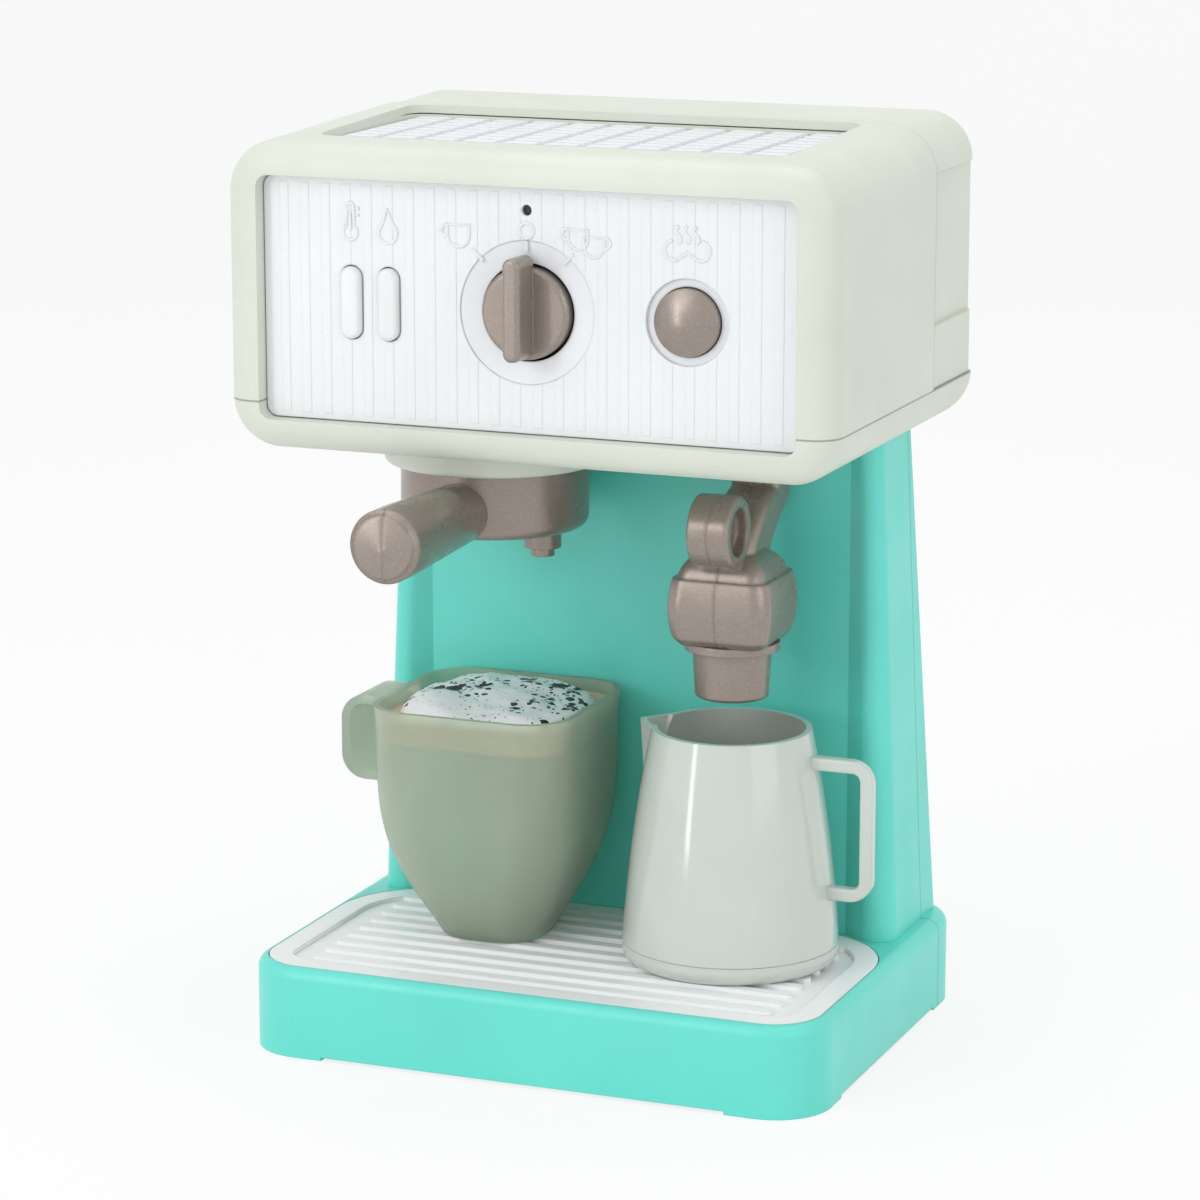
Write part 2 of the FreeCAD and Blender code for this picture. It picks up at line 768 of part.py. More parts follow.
def make_head_rear_cover():
    form = head_block("rear_form", rear_step, head_front, head_rear, head_edge)
    keep = box("rear_keep", (-head_width, rear_seam, parting), 2 * head_width, head_rear, head_height)
    cavity = head_block("rear_cavity", rear_step + wall, head_front, head_rear - wall, None)
    hollow = cut("rear_hollow", common("rear_part", form, keep), cavity)
    notches = []
    for name, side in (("left", -1), ("right", 1)):
        x = side * (head_width / 2 - rear_step - notch_depth / 2) - (notch_depth / 2 + overrun / 2) \
            + side * overrun / 2
        notches.append(box(f"{name}_notch", (x, rear_seam - overrun, head_bottom + notch_rise - notch_height / 2),
                           notch_depth + overrun, head_depth, notch_height))
    door_hole = box("door_hole", (-door_width / 2, head_rear - 2 * wall, door_bottom), door_width, overrun,
                    door_height)
    return cut("head_rear_cover", hollow, notches[0], notches[1], door_hole)


door_width = dimension("door_width", 68.0)
door_height = dimension("door_height", 38.0)
door_rise = dimension("door_rise", 32.0)
door_bottom = head_bottom + door_rise
battery_radius = dimension("battery_radius", 7.0)
battery_length = dimension("battery_length", 48.5)
battery_pitch = dimension("battery_pitch", 15.6)
battery_count = 2


def make_battery_door():
    body = new_body("battery_door")
    sketch = sketch_on(body, "XZ_Plane", "door_outline", up=door_bottom + door_height / 2, out=-head_rear)
    rounded_rectangle(sketch, door_width - 2 * fit_gap, door_height - 2 * fit_gap, 1.5)
    pad(body, sketch, wall, "Door")
    grip = rounded_rectangle(
        sketch_on(body, "XZ_Plane", "grip", up=door_bottom + door_height / 5, out=-head_rear),
        door_width / 3, 3.0, 1.2)
    grip_cut = pocket(body, grip, wall / 3, "Grip", back=True)
    row_of(body, grip_cut, grip, "V_Axis", door_height / 5, 2, "Grips")
    screw = sketch_on(body, "XZ_Plane", "screw_hole", up=door_bottom + door_height - 6.0, out=-head_rear)
    circle(screw, screw_radius + fit_gap)
    pocket(body, screw, 2 * wall, "ScrewHole", back=True)
    return body


holder_depth = dimension("holder_depth", 18.0)


def make_battery_holder():
    low = door_bottom - wall
    front = head_rear - wall - holder_depth
    outer = box("holder_outer", (-door_width / 2 - wall, front, low), door_width + 2 * wall, holder_depth,
                door_height + 2 * wall)
    inner = box("holder_inner", (-door_width / 2, front + wall, low + wall), door_width, holder_depth, door_height)
    return cut("battery_holder", outer, inner)


def make_batteries():
    low = door_bottom + battery_radius
    y = head_rear - holder_depth + battery_radius
    cells = []
    for number in range(battery_count):
        z = low + number * battery_pitch
        cell = cylinder(f"cell_{number}", (-battery_length / 2, y, z), battery_radius, battery_length,
                        Rotation(axis_y, 90))
        cap = cylinder(f"cap_{number}", (battery_length / 2, y, z), battery_radius / 3, 1.2,
                       Rotation(axis_y, 90))
        cells.append(fuse(f"battery_{number}", cell, cap))
    return compound("batteries", cells)


def make_door_screw():
    place_z = door_bottom + door_height - 6.0
    head = cylinder("door_screw_head", (0, head_rear, place_z), screw_head_radius, screw_head_height,
                    FACING_REAR)
    shank = cylinder("door_screw_shank", (0, head_rear - 2 * wall, place_z), screw_radius,
                     2 * wall + screw_head_height, FACING_REAR)
    return fuse("door_screw", head, shank)


def make_warmer_grille():
    body = new_body("cup_warmer_grille")
    sketch = rounded_rectangle(
        sketch_on(body, "XY_Plane", "grille_outline", up=grille_middle, out=grille_floor),
        grille_width, grille_depth, grille_corner)
    pad(body, sketch, grille_thickness, "Mat")
    pitch_x = grille_width / (grille_columns + 0.4)
    pitch_y = grille_depth / (grille_rows + 0.4)
    first = sketch_on(body, "XY_Plane", "pad", across=-pitch_x * (grille_columns - 1) / 2,
                      up=grille_middle - pitch_y * (grille_rows - 1) / 2, out=grille_floor + grille_thickness)
    rectangle(first, grille_pad_width, grille_pad_depth)
    bump = pad(body, first, grille_pad_height, "Pad")
    multi = body.newObject("PartDesign::MultiTransform", "Pads")
    multi.Originals = [bump]
    body.Tip = multi
    across = body.newObject("PartDesign::LinearPattern", "Across")
    across.Direction = (first, ["H_Axis"])
    bind(across, "Length", pitch_x * (grille_columns - 1))
    across.Occurrences = grille_columns
    deep = body.newObject("PartDesign::LinearPattern", "Deep")
    deep.Direction = (first, ["V_Axis"])
    bind(deep, "Length", pitch_y * (grille_rows - 1))
    deep.Occurrences = grille_rows
    multi.Transformations = [across, deep]
    body.Tip = multi
    return body


# Control panel

def make_front_panel():
    body = new_body("front_panel")
    sketch = sketch_on(body, "XZ_Plane", "panel_outline", up=panel_middle, out=panel_back)
    rounded_rectangle(sketch, panel_width - 2 * fit_gap, panel_height - 2 * fit_gap, panel_corner - fit_gap)
    pad(body, sketch, panel_thickness, "Plate")
    row_length = panel_rib_pitch * (panel_rib_count - 1)
    rib = sketch_on(body, "XZ_Plane", "rib", across=-row_length / 2, up=panel_middle, out=panel_plane)
    rectangle(rib, panel_rib_width, panel_height - 4.0)
    ribs = pad(body, rib, panel_rib_height, "Rib")
    row_of(body, ribs, rib, "H_Axis", row_length, panel_rib_count, "Ribs")
    dish_depth = knob_dish_depth + panel_rib_height
    dishes = sketch_on(body, "XZ_Plane", "dishes", up=control_z, out=panel_plane + panel_rib_height)
    circle(dishes, knob_dish_radius, 0, 0, "knob")
    circle(dishes, button_dish_radius, button_x, 0, "button")
    pocket(body, dishes, dish_depth, "Dishes")
    holes = sketch_on(body, "XZ_Plane", "holes", up=control_z, out=panel_plane + panel_rib_height)
    circle(holes, knob_radius + knob_hole_gap, 0, 0, "knob")
    circle(holes, button_radius + fit_gap, button_x, 0, "button")
    circle(holes, light_radius + fit_gap, 0, light_rise - control_rise, "light")
    pocket(body, holes, 2 * panel_thickness, "Holes")
    for number in (0, 1):
        slot = sketch_on(body, "XZ_Plane", f"lens_hole_{number}", across=lens_left + number * lens_pitch,
                         up=control_z, out=panel_plane + panel_rib_height)
        rounded_rectangle(slot, lens_width + 2 * fit_gap, lens_height + 2 * fit_gap,
                          lens_width / 2 + fit_gap - 0.02)
        pocket(body, slot, 2 * panel_thickness, f"LensHole{number}")
    return body


def make_lens(label, number):
    body = new_body(label)
    sketch = sketch_on(body, "XZ_Plane", "lens", across=lens_left + number * lens_pitch, up=control_z,
                       out=panel_back)
    rounded_rectangle(sketch, lens_width, lens_height, lens_width / 2 - 0.02)
    length = panel_thickness + panel_rib_height + lens_proud
    pad(body, sketch, length, "Bar")
    front = -(panel_back + length)
    round_edges(body, lens_proud * 0.8, level("Y", front), "Front")
    return body


def make_status_light():
    return cylinder("status_light", (0, -panel_back, head_bottom + light_rise), light_radius,
                    panel_thickness - 1.0, FACING_FRONT)


def make_knob():
    body = new_body("knob_cap")
    disc = sketch_on(body, "XZ_Plane", "disc", up=control_z, out=panel_plane + knob_face - knob_disc_thickness)
    circle(disc, knob_radius)
    pad(body, disc, knob_disc_thickness, "Disc")
    front = -(panel_plane + knob_face)
    round_edges(body, knob_face * 0.6, level("Y", front), "Rim")
    grip = sketch_on(body, "XZ_Plane", "grip", up=control_z + (grip_up - grip_down) / 2,
                     out=panel_plane + knob_face - 0.6)
    rounded_rectangle(grip, grip_width, grip_up + grip_down, grip_width / 2.2)
    pad(body, grip, grip_proud - knob_face + 0.6, "Grip")
    round_edges(body, grip_width * 0.26, level("Y", -(panel_plane + grip_proud)), "GripEdge")
    shaft = sketch_on(body, "XZ_Plane", "shaft", up=control_z, out=shaft_tip)
    circle(shaft, shaft_radius)
    pad(body, shaft, panel_plane + knob_face - knob_disc_thickness - shaft_tip, "Shaft")
    return body


shaft_length = dimension("shaft_length", 14.0)
shaft_tip = panel_plane + knob_face - knob_disc_thickness - shaft_length
switch_width = dimension("switch_width", 18.0)
switch_depth = dimension("switch_depth", 9.0)
switch_back = shaft_tip - 1.0


def make_knob_switch():
    half = switch_width / 2
    block = box("knob_switch_block", (-half, -switch_back - switch_depth, control_z - half), switch_width,
                switch_depth, switch_width)
    bore = cylinder("knob_switch_bore", (0, -switch_back, control_z), shaft_radius + running_gap,
                    switch_depth + 1.0, FACING_FRONT)
    return cut("knob_switch", block, bore)


board_thickness = dimension("board_thickness", 1.6)
board_front = switch_back
button_flange = dimension("button_flange", 1.4)
button_stem = dimension("button_stem", 8.0)
plunger_gap = dimension("plunger_gap", 0.4)
button_back = panel_back - fit_gap - button_flange


def make_circuit_board():
    low = head_bottom + panel_rise + 8.0
    board = box("board_blank", (-62.0, -board_front, low), 128.0, board_thickness, 52.0)
    return board


def make_steam_button():
    body = new_body("steam_button")
    profile = sketch_on(body, "XY_Plane", "profile", across=button_x, out=control_z)
    edge = -(panel_plane + button_proud - button_dome)
    outline(profile, [
        (0, -(panel_plane + button_proud)), (button_radius, edge), (button_radius, -(button_back + button_flange)),
        (button_radius + 1.6, -(button_back + button_flange)), (button_radius + 1.6, -button_back),
        (shaft_radius, -button_back), (shaft_radius, -button_back + button_stem), (0, -button_back + button_stem)],
        {0: 0.24 * button_dome})
    revolve(body, profile)
    return body


def make_button_spring():
    gap = 0.2
    inner = shaft_radius + 0.6
    length = button_back - board_front - 2 * gap
    return ring_of("button_spring", (button_x, -button_back + gap, control_z), inner + 1.0, inner, length,
                   FACING_REAR)


def make_button_switch():
    front = button_back - button_stem - button_travel - plunger_gap
    side = shaft_radius * 1.5
    return box("button_switch", (button_x - side / 2, -front, control_z - side / 2), side,
               front - board_front, side)


speaker_radius = dimension("speaker_radius", 14.0)
speaker_depth = dimension("speaker_depth", 6.0)


def make_speaker():
    body = new_body("speaker")
    profile = sketch_on(body, "XZ_Plane", "profile", across=30.0 - head_width / 2, up=head_bottom + wall,
                        out=-8.0)
    outline(profile, [(0, 0), (speaker_radius, 0), (speaker_radius, 1.5), (speaker_radius * 0.62, speaker_depth * 0.6),
                      (speaker_radius * 0.62, speaker_depth), (0, speaker_depth)])
    revolve(body, profile)
    return body


# Brewing group and portafilter

def make_group_ring():
    body = new_body("group_ring")
    profile = sketch_on(body, "XZ_Plane", "profile", across=group_x, out=-group_y)
    outline(profile, [
        (basket_radius - basket_wall - 3.0, group_bottom), (group_radius - 1.6, group_bottom),
        (group_radius, group_bottom + 2.0), (group_radius + 0.6, head_bottom),
        (basket_radius - basket_wall - 3.0, head_bottom)], {1: 0.5})
    revolve(body, profile)
    return body


def make_portafilter_body():
    body = new_body("basket_form")
    profile = sketch_on(body, "XZ_Plane", "profile", across=group_x, out=-group_y)
    inner = basket_radius - basket_wall
    outline(profile, [
        (0, basket_bottom), (basket_radius - 3.4, basket_bottom), (basket_radius, basket_bottom + 3.4),
        (basket_radius, basket_top), (inner, basket_top), (inner, basket_bottom + basket_wall + 1.2),
        (0, basket_bottom + basket_wall)], {1: 1.0})
    revolve(body, profile)
    pieces = [body]
    for name, side in (("left", -1), ("right", 1)):
        x = group_x + side * spout_spacing / 2
        pieces.append(cylinder(f"{name}_spout", (x, group_y, basket_bottom - spout_drop), spout_radius,
                               spout_drop + basket_wall))
        pieces.append(cylinder(f"{name}_tip", (x, group_y, basket_bottom - spout_drop - spout_tip_drop),
                               spout_tip_radius, spout_tip_drop + basket_wall))
    pieces.append(cylinder("handle_tang", (group_x, group_y - basket_radius + 1.0, handle_z), tang_radius,
                           tang_length + 1.0, FACING_FRONT))
    whole = fuse("basket_whole", *pieces)
    bores = []
    for name, side in (("left", -1), ("right", 1)):
        x = group_x + side * spout_spacing / 2
        bores.append(cylinder(f"{name}_bore", (x, group_y, basket_bottom - 2 * spout_drop), spout_bore,
                              4 * spout_drop))
    return cut("portafilter_body", whole, *bores)


def make_handle_form():
    body = new_body("handle_form")
    profile = sketch_on(body, "YZ_Plane", "profile", up=handle_z, out=group_x)
    root = group_y - basket_radius + 4.0
    end = group_y - basket_radius - handle_length
    outline(profile, [
        (root, 0), (root, handle_root_radius), (end + 10.0, handle_end_radius),
        (end + handle_end_round, handle_end_radius), (end, handle_end_radius - handle_end_round), (end - 0.8, 0)],
        {3: -0.29 * handle_end_round})
    revolve(body, profile, "H_Axis")
    bore = cylinder("tang_bore", (group_x, group_y, handle_z), tang_radius + running_gap,
                    basket_radius + tang_length + rest_gap, FACING_FRONT)
    seat = cylinder("basket_seat", (group_x, group_y, handle_z - overrun), basket_radius, 2 * overrun)
    return cut("handle_whole", body, bore, seat)


def halves(first_label, second_label, whole, middle_x, centre_y, centre_z, reach):
    """Splits a moulded piece at a plane across X into its two halves."""
    left = box(f"{first_label}_side", (middle_x - 2 * reach, centre_y - reach, centre_z - reach), 2 * reach,
               2 * reach, 2 * reach)
    right = box(f"{second_label}_side", (middle_x, centre_y - reach, centre_z - reach), 2 * reach, 2 * reach,
                2 * reach)
    return common(first_label, whole, left), common(second_label, whole, right)


# Steam wand

def square_loft(body, name, sections, ruled=False):
    """A loft through rounded squares about the wand's axis, each with its width and height."""
    sketches = []
    for number, (width, height) in enumerate(sections):
        sketch = sketch_on(body, "XY_Plane", f"{name}_{number}", across=wand_x, up=wand_y, out=height)
        sketches.append(rounded_rectangle(sketch, width, width, collar_corner * width / collar_width))
    feature = body.newObject("PartDesign::AdditiveLoft", name)
    feature.Profile = sketches[0]
    feature.Sections = sketches[1:]
    feature.Ruled = ruled
    body.Tip = feature
    return feature


def make_wand_form():
    turned = new_body("collar_form")
    edge = collar_bottom + collar_chamfer
    square_loft(turned, "Foot", [(collar_foot_width, collar_bottom), (collar_rim_width, edge)], True)
    square_loft(turned, "Barrel", [(collar_rim_width, edge), (collar_width, collar_bottom + collar_height * 0.52),
                                   (collar_rim_width, collar_top)])
    square_loft(turned, "Shoulder", [
        (shoulder_width, collar_top), (shoulder_width * 0.9, collar_top + shoulder_height / 2),
        (shoulder_top_width, collar_top + shoulder_height)])
    ring = new_body("ring_form")
    disc = sketch_on(ring, "YZ_Plane", "disc", across=wand_y - ring_forward, up=collar_top + ring_rise,
                     out=wand_x)
    circle(disc, ring_radius)
    pad(ring, disc, ring_width, "Disc", both=True)
    round_edges(ring, 1.0, lambda edge: edge.Curve.TypeId == "Part::GeomCircle", "DiscEdges")
    for name, side in (("left", -1), ("right", 1)):
        hollow = sketch_on(ring, "YZ_Plane", f"{name}_hollow", across=wand_y - ring_forward,
                           up=collar_top + ring_rise, out=wand_x + side * ring_width / 2)
        circle(hollow, ring_recess_radius)
        pocket(ring, hollow, ring_recess_depth, name.title(), back=side < 0)
    arm = new_body("arm_form")
    side_view = sketch_on(arm, "YZ_Plane", "side_view", out=wand_x)
    arm_top = head_bottom - 2 * fit_gap
    low = collar_top + 1.0
    outline(side_view, [
        (wand_y - 8.0, low), (wand_y + 9.5, low), (pivot_y + arm_depth / 2 - 1.5, collar_top + 17.0),
        (pivot_y + arm_depth / 2, arm_top), (pivot_y - arm_depth / 2, arm_top),
        (pivot_y - arm_depth / 2 - 1.5, collar_top + 23.0), (wand_y - 4.0, collar_top + 9.0)],
        {1: -1.6, 2: 0.8, 4: -0.8, 5: 2.2})
    pad(arm, side_view, arm_width, "Arm", both=True)

    def long_edge(edge):
        at_side = abs(abs(edge.BoundBox.Center.x - wand_x.number) - arm_width.number / 2) < 0.01
        return at_side and edge.BoundBox.XLength < 0.01 and edge.BoundBox.ZLength > 0.5

    round_edges(arm, 3.0, long_edge, "ArmEdges")
    peg = cylinder("peg", (wand_x, pivot_y, arm_top - 1.0), peg_radius, peg_length + 1.0)
    return fuse("wand_whole", turned, ring, arm, peg)


def make_nozzle():
    body = new_body("wand_nozzle")
    profile = sketch_on(body, "XZ_Plane", "profile", across=wand_x, out=-wand_y)
    low = collar_bottom - flange_height - nozzle_length
    outline(profile, [
        (nozzle_bore, low), (nozzle_tip_radius - 1.2, low), (nozzle_tip_radius, low + 1.2),
        (nozzle_radius, collar_bottom - flange_height), (flange_radius, collar_bottom - flange_height),
        (flange_radius, collar_bottom), (0, collar_bottom), (0, low + nozzle_length * 0.75),
        (nozzle_bore, low + nozzle_length * 0.75)], {1: 0.35})
    revolve(body, profile)
    return body


# Cup and foam insert

def cup_sections(inset, lift):
    """Width, corner radius and height of the cup's sections, from its foot to its rim."""
    spread = cup_rim - cup_foot
    shape = ((0.0, 0.0, 0.385, 1.0), (0.08, 0.19, 0.36, 0.75), (0.32, 0.71, 0.295, 0.4),
             (0.66, 0.96, 0.245, 0.1), (1.0, 1.0, 0.225, 0.0))
    sections = []
    for height, share, roundness, lift_share in shape:
        width = cup_foot + spread * share
        sections.append((width - 2 * inset, width * roundness - inset,
                         cup_base + cup_height * height + lift * lift_share))
    return sections


def section_loft(body, sections, prefix, kind="PartDesign::AdditiveLoft"):
    sketches = []
    for number, (width, radius, height) in enumerate(sections):
        sketch = sketch_on(body, "XY_Plane", f"{prefix}_{number}", across=cup_x, up=cup_y, out=height)
        sketches.append(rounded_rectangle(sketch, width, width, radius))
    feature = body.newObject(kind, prefix.title())
    feature.Profile = sketches[0]
    feature.Sections = sketches[1:]
    body.Tip = feature
    return feature


def make_cup_shell():
    outside = new_body("cup_outside")
    section_loft(outside, cup_sections(0, 0), "outside")
    inside = new_body("cup_inside")
    section_loft(inside, cup_sections(cup_wall, cup_wall), "inside")
    top = cup_base + cup_height - 1.2
    low = top - cup_handle_height
    left = cup_x - cup_rim / 2 - cup_handle_reach
    band = new_body("cup_handle_form")
    reach = cup_handle_reach + cup_rim * 0.18
    side_view = sketch_on(band, "XZ_Plane", "band", across=left + reach / 2, up=low + cup_handle_height / 2,
                          out=-cup_y)
    rounded_rectangle(side_view, reach, cup_handle_height, 7.5)
    pad(band, side_view, cup_handle_width, "Band", both=True)
    hollow = sketch_on(band, "XZ_Plane", "band_inside", across=left + reach / 2, up=low + cup_handle_height / 2,
                       out=-cup_y + cup_handle_width)
    rounded_rectangle(hollow, reach - 2 * cup_handle_thickness, cup_handle_height - 2 * cup_handle_thickness,
                      7.5 - cup_handle_thickness)
    pocket(band, hollow, 2 * cup_handle_width, "BandInside")
    return cut("cup_shell", fuse("cup_solid", outside, band), inside)


def make_foam():
    inside = new_body("foam_inside")
    section_loft(inside, cup_sections(cup_wall + fit_gap, cup_wall), "foam")
    rim = cup_base + cup_height
    plug_low = rim - foam_sink
    edge = rim - foam_edge_sink
    reach = cup_rim
    plug_box = box("plug_box", (cup_x - reach, cup_y - reach, plug_low), 2 * reach, 2 * reach, foam_sink - foam_edge_sink)
    plug = common("latte_plug", inside, plug_box)
    half = cup_rim * 0.553
    curve = (half * half + foam_crown * foam_crown) / (2 * foam_crown)
    crown = doc.addObject("Part::Sphere", "crown_form")
    bind(crown, "Radius", curve)
    place(crown, cup_x, cup_y, edge + foam_crown - curve)
    foam_box = new_body("foam_column")
    column = sketch_on(foam_box, "XY_Plane", "column", across=cup_x, up=cup_y, out=edge)
    width = cup_rim - 2 * cup_wall - 2 * fit_gap - 2.4
    rounded_rectangle(column, width, width, cup_rim * 0.34)
    pad(foam_box, column, 2 * foam_crown, "Column")
    foam = common("latte_foam", crown, foam_box)
    return plug, foam


# Milk jug

def make_jug_shell():
    turned = new_body("jug_form")
    profile = sketch_on(turned, "XZ_Plane", "profile", across=jug_x, out=-jug_y)
    seam = jug_base + jug_belly_rise
    top = jug_base + jug_height
    outline(profile, [
        (0, seam), (jug_belly_radius, seam), (jug_mouth_radius, top), (jug_mouth_radius - jug_wall, top),
        (jug_belly_radius - jug_wall, seam + jug_wall), (0, seam + jug_wall)], {1: 1.1, 3: -1.1})
    revolve(turned, profile)
    spout = new_body("jug_spout")
    sketches = []
    for number, (reach, half, drop) in enumerate(((0.0, 0.3, 26.0), (1.0, 8.0, 0.0))):
        sketch = sketch_on(spout, "XY_Plane", f"lip_{number}", across=jug_x, up=jug_y, out=top - drop)
        foot = jug_mouth_radius - 1.2 + drop * 0.12
        tip = foot + 1.4 + (jug_spout_reach + 0.6) * reach
        outline(sketch, [(-foot + 3.0, half), (-foot, half), (-tip, 0.25), (-tip, -0.25), (-foot, -half),
                         (-foot + 3.0, -half)])
        sketches.append(sketch)
    loft(spout, sketches[0], sketches[1], "Lip")
    handle = new_body("jug_handle")
    low = jug_base + jug_handle_foot
    high = jug_base + jug_handle_top
    inner_x = jug_x + jug_mouth_radius - 4.0
    outer_x = jug_x + jug_handle_reach
    side_view = sketch_on(handle, "XZ_Plane", "frame", across=(inner_x + outer_x) / 2, up=(low + high) / 2,
                          out=-jug_y)
    rounded_rectangle(side_view, outer_x - inner_x, high - low, 7.0)
    pad(handle, side_view, jug_handle_bar, "Frame", both=True)
    hollow = sketch_on(handle, "XZ_Plane", "frame_inside", across=(inner_x + outer_x) / 2, up=(low + high) / 2,
                       out=-jug_y + jug_handle_bar)
    rounded_rectangle(hollow, outer_x - inner_x - 2 * jug_handle_bar, high - low - 2 * jug_handle_bar, 2.4)
    pocket(handle, hollow, 2 * jug_handle_bar, "FrameInside")
    round_edges(handle, 0.9, lambda edge: edge.BoundBox.YLength < 0.01, "FrameEdges")
    hollow_form = new_body("jug_hollow")
    inner_profile = sketch_on(hollow_form, "XZ_Plane", "inner", across=jug_x, out=-jug_y)
    outline(inner_profile, [
        (0, seam + jug_wall), (jug_belly_radius - jug_wall, seam + jug_wall), (jug_mouth_radius - jug_wall, top),
        (jug_mouth_radius - jug_wall, top + 5.0), (0, top + 5.0)], {1: 1.1})
    revolve(hollow_form, inner_profile)
    trough = new_body("lip_trough")
    cuts = []
    for number, (reach, half, drop) in enumerate(((0.0, 0.2, 22.0), (1.0, 6.6, -1.0))):
        sketch = sketch_on(trough, "XY_Plane", f"trough_{number}", across=jug_x, up=jug_y, out=top - drop)
        foot = jug_mouth_radius - 1.2 + drop * 0.12
        tip = foot + 1.4 + (jug_spout_reach + 0.6) * reach - jug_wall
        outline(sketch, [(-foot + 8.0, half), (-foot, half), (-tip, 0.2), (-tip, -0.2), (-foot, -half),
                         (-foot + 8.0, -half)])
        cuts.append(sketch)
    loft(trough, cuts[0], cuts[1], "Trough")
    solid = fuse("jug_solid", turned, spout, handle)
    return cut("jug_shell", solid, hollow_form, trough)


def make_jug_base():
    body = new_body("jug_base")
    profile = sketch_on(body, "XZ_Plane", "profile", across=jug_x, out=-jug_y)
    seam = jug_base + jug_belly_rise
    outline(profile, [
        (0, jug_base), (jug_foot_radius, jug_base), (jug_belly_radius, seam - 1.0), (jug_belly_radius, seam - 0.1),
        (0, seam - 0.1)], {1: 0.9})
    revolve(body, profile)
    return body


def make_parts():
    parts = [
        make_base_shell(), make_base_plate(), make_base_screws(), make_drip_tray(),
        make_column_shell(), make_column_rear_cover(),
        make_head_upper_shell(), make_head_lower_shell(), make_head_rear_cover(),
        make_battery_door(), make_battery_holder(), make_batteries(), make_door_screw(),
        make_warmer_grille(), make_front_panel(), make_lens("left_indicator_lens", 0),
        make_lens("right_indicator_lens", 1), make_status_light(), make_knob(), make_knob_switch(),
        make_circuit_board(), make_steam_button(), make_button_spring(), make_button_switch(),
        make_speaker(), make_group_ring(), make_portafilter_body()]
    parts += halves("handle_left_half", "handle_right_half", make_handle_form(), group_x,
                    group_y - basket_radius, handle_z, handle_length + overrun)
    parts += halves("wand_left_half", "wand_right_half", make_wand_form(), wand_x, wand_y, collar_top,
                    3 * overrun)
    parts += [make_nozzle(), make_cup_shell(), *make_foam(), make_jug_shell(), make_jug_base()]
    return parts


parts = make_parts()
doc.recompute()

# The board keeps its own name as a part of the machine.
for thing in parts:
    if thing.Name == "board_blank":
        thing.Label = "circuit_board"

faults = [thing.Label for thing in doc.Objects if "Invalid" in thing.State or "Error" in thing.State]
for thing in parts:
    if thing.Shape.isNull() or not thing.Shape.isValid() or not thing.Shape.Solids:
        faults.append(f"{thing.Label} has no sound solid")
if faults:
    raise RuntimeError("failed objects: " + ", ".join(faults))

os.makedirs("parts", exist_ok=True)
for thing in parts:
    thing.Shape.exportStep(f"parts/{thing.Label}.step")
    print(thing.Label, len(thing.Shape.Solids), round(thing.Shape.Volume))
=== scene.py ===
import math

import bmesh
import bpy
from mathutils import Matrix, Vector, noise


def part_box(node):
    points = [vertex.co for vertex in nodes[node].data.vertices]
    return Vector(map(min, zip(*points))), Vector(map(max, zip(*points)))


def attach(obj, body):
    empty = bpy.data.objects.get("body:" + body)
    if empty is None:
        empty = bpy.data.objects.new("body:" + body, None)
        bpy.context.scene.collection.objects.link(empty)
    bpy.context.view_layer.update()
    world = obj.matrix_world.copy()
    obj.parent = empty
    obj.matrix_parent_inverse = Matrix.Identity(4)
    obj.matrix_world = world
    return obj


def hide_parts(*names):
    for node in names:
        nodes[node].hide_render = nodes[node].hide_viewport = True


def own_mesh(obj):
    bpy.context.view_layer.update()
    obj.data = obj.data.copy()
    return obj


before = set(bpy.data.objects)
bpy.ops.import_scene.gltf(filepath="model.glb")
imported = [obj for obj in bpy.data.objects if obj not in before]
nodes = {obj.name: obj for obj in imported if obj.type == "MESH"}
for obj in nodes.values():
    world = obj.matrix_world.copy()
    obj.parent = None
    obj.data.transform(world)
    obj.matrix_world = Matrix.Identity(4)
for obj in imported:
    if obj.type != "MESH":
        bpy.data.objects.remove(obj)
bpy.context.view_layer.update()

MM = 0.001


# Places on the object, read from the parts' boxes, in mm: x to the right, y to the rear, z up

X_AXIS, Y_AXIS, Z_AXIS = 0, 1, 2


def low_edge(name, axis):
    """Where a node starts along an axis."""
    return round(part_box(name)[0][axis] / MM, 2)


def middle(name):
    """The x and z of a node's middle."""
    low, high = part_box(name)
    return tuple(round((low[axis] + high[axis]) / 2 / MM, 1) for axis in (X_AXIS, Z_AXIS))


# The panel's plane is where its ribs start, and the signs lie on the worn ribs
RIB_HEIGHT = 0.4
RIB_SHARE = 0.2
PANEL_PLANE = low_edge("front_panel", Y_AXIS) + RIB_HEIGHT
SIGN_PLANE = PANEL_PLANE - RIB_HEIGHT * RIB_SHARE
LEFT_LENS, RIGHT_LENS = middle("left_indicator_lens"), middle("right_indicator_lens")
BUTTON = middle("steam_button")
# The knob's turning axis is as high as the button's middle, and its own box is taller above
KNOB = (middle("knob_cap")[0], BUTTON[1])
HEAD_PARTING = low_edge("head_upper_shell", Z_AXIS)
REAR_SEAM = low_edge("head_rear_cover", Y_AXIS)
COVER_SEAM = low_edge("column_rear_cover", Y_AXIS)


# Colours

def srgb(red, green, blue):
    """A screen colour, 0 to 255, as the linear numbers that a shader takes."""
    def linear(value):
        value /= 255
        return value / 12.92 if value <= 0.04045 else ((value + 0.055) / 1.055) ** 2.4
    return (linear(red), linear(green), linear(blue), 1.0)


def shade(colour, factor):
    """The colour made lighter or darker by a factor."""
    return tuple(min(1.0, part * factor) for part in colour[:3]) + (1.0,)


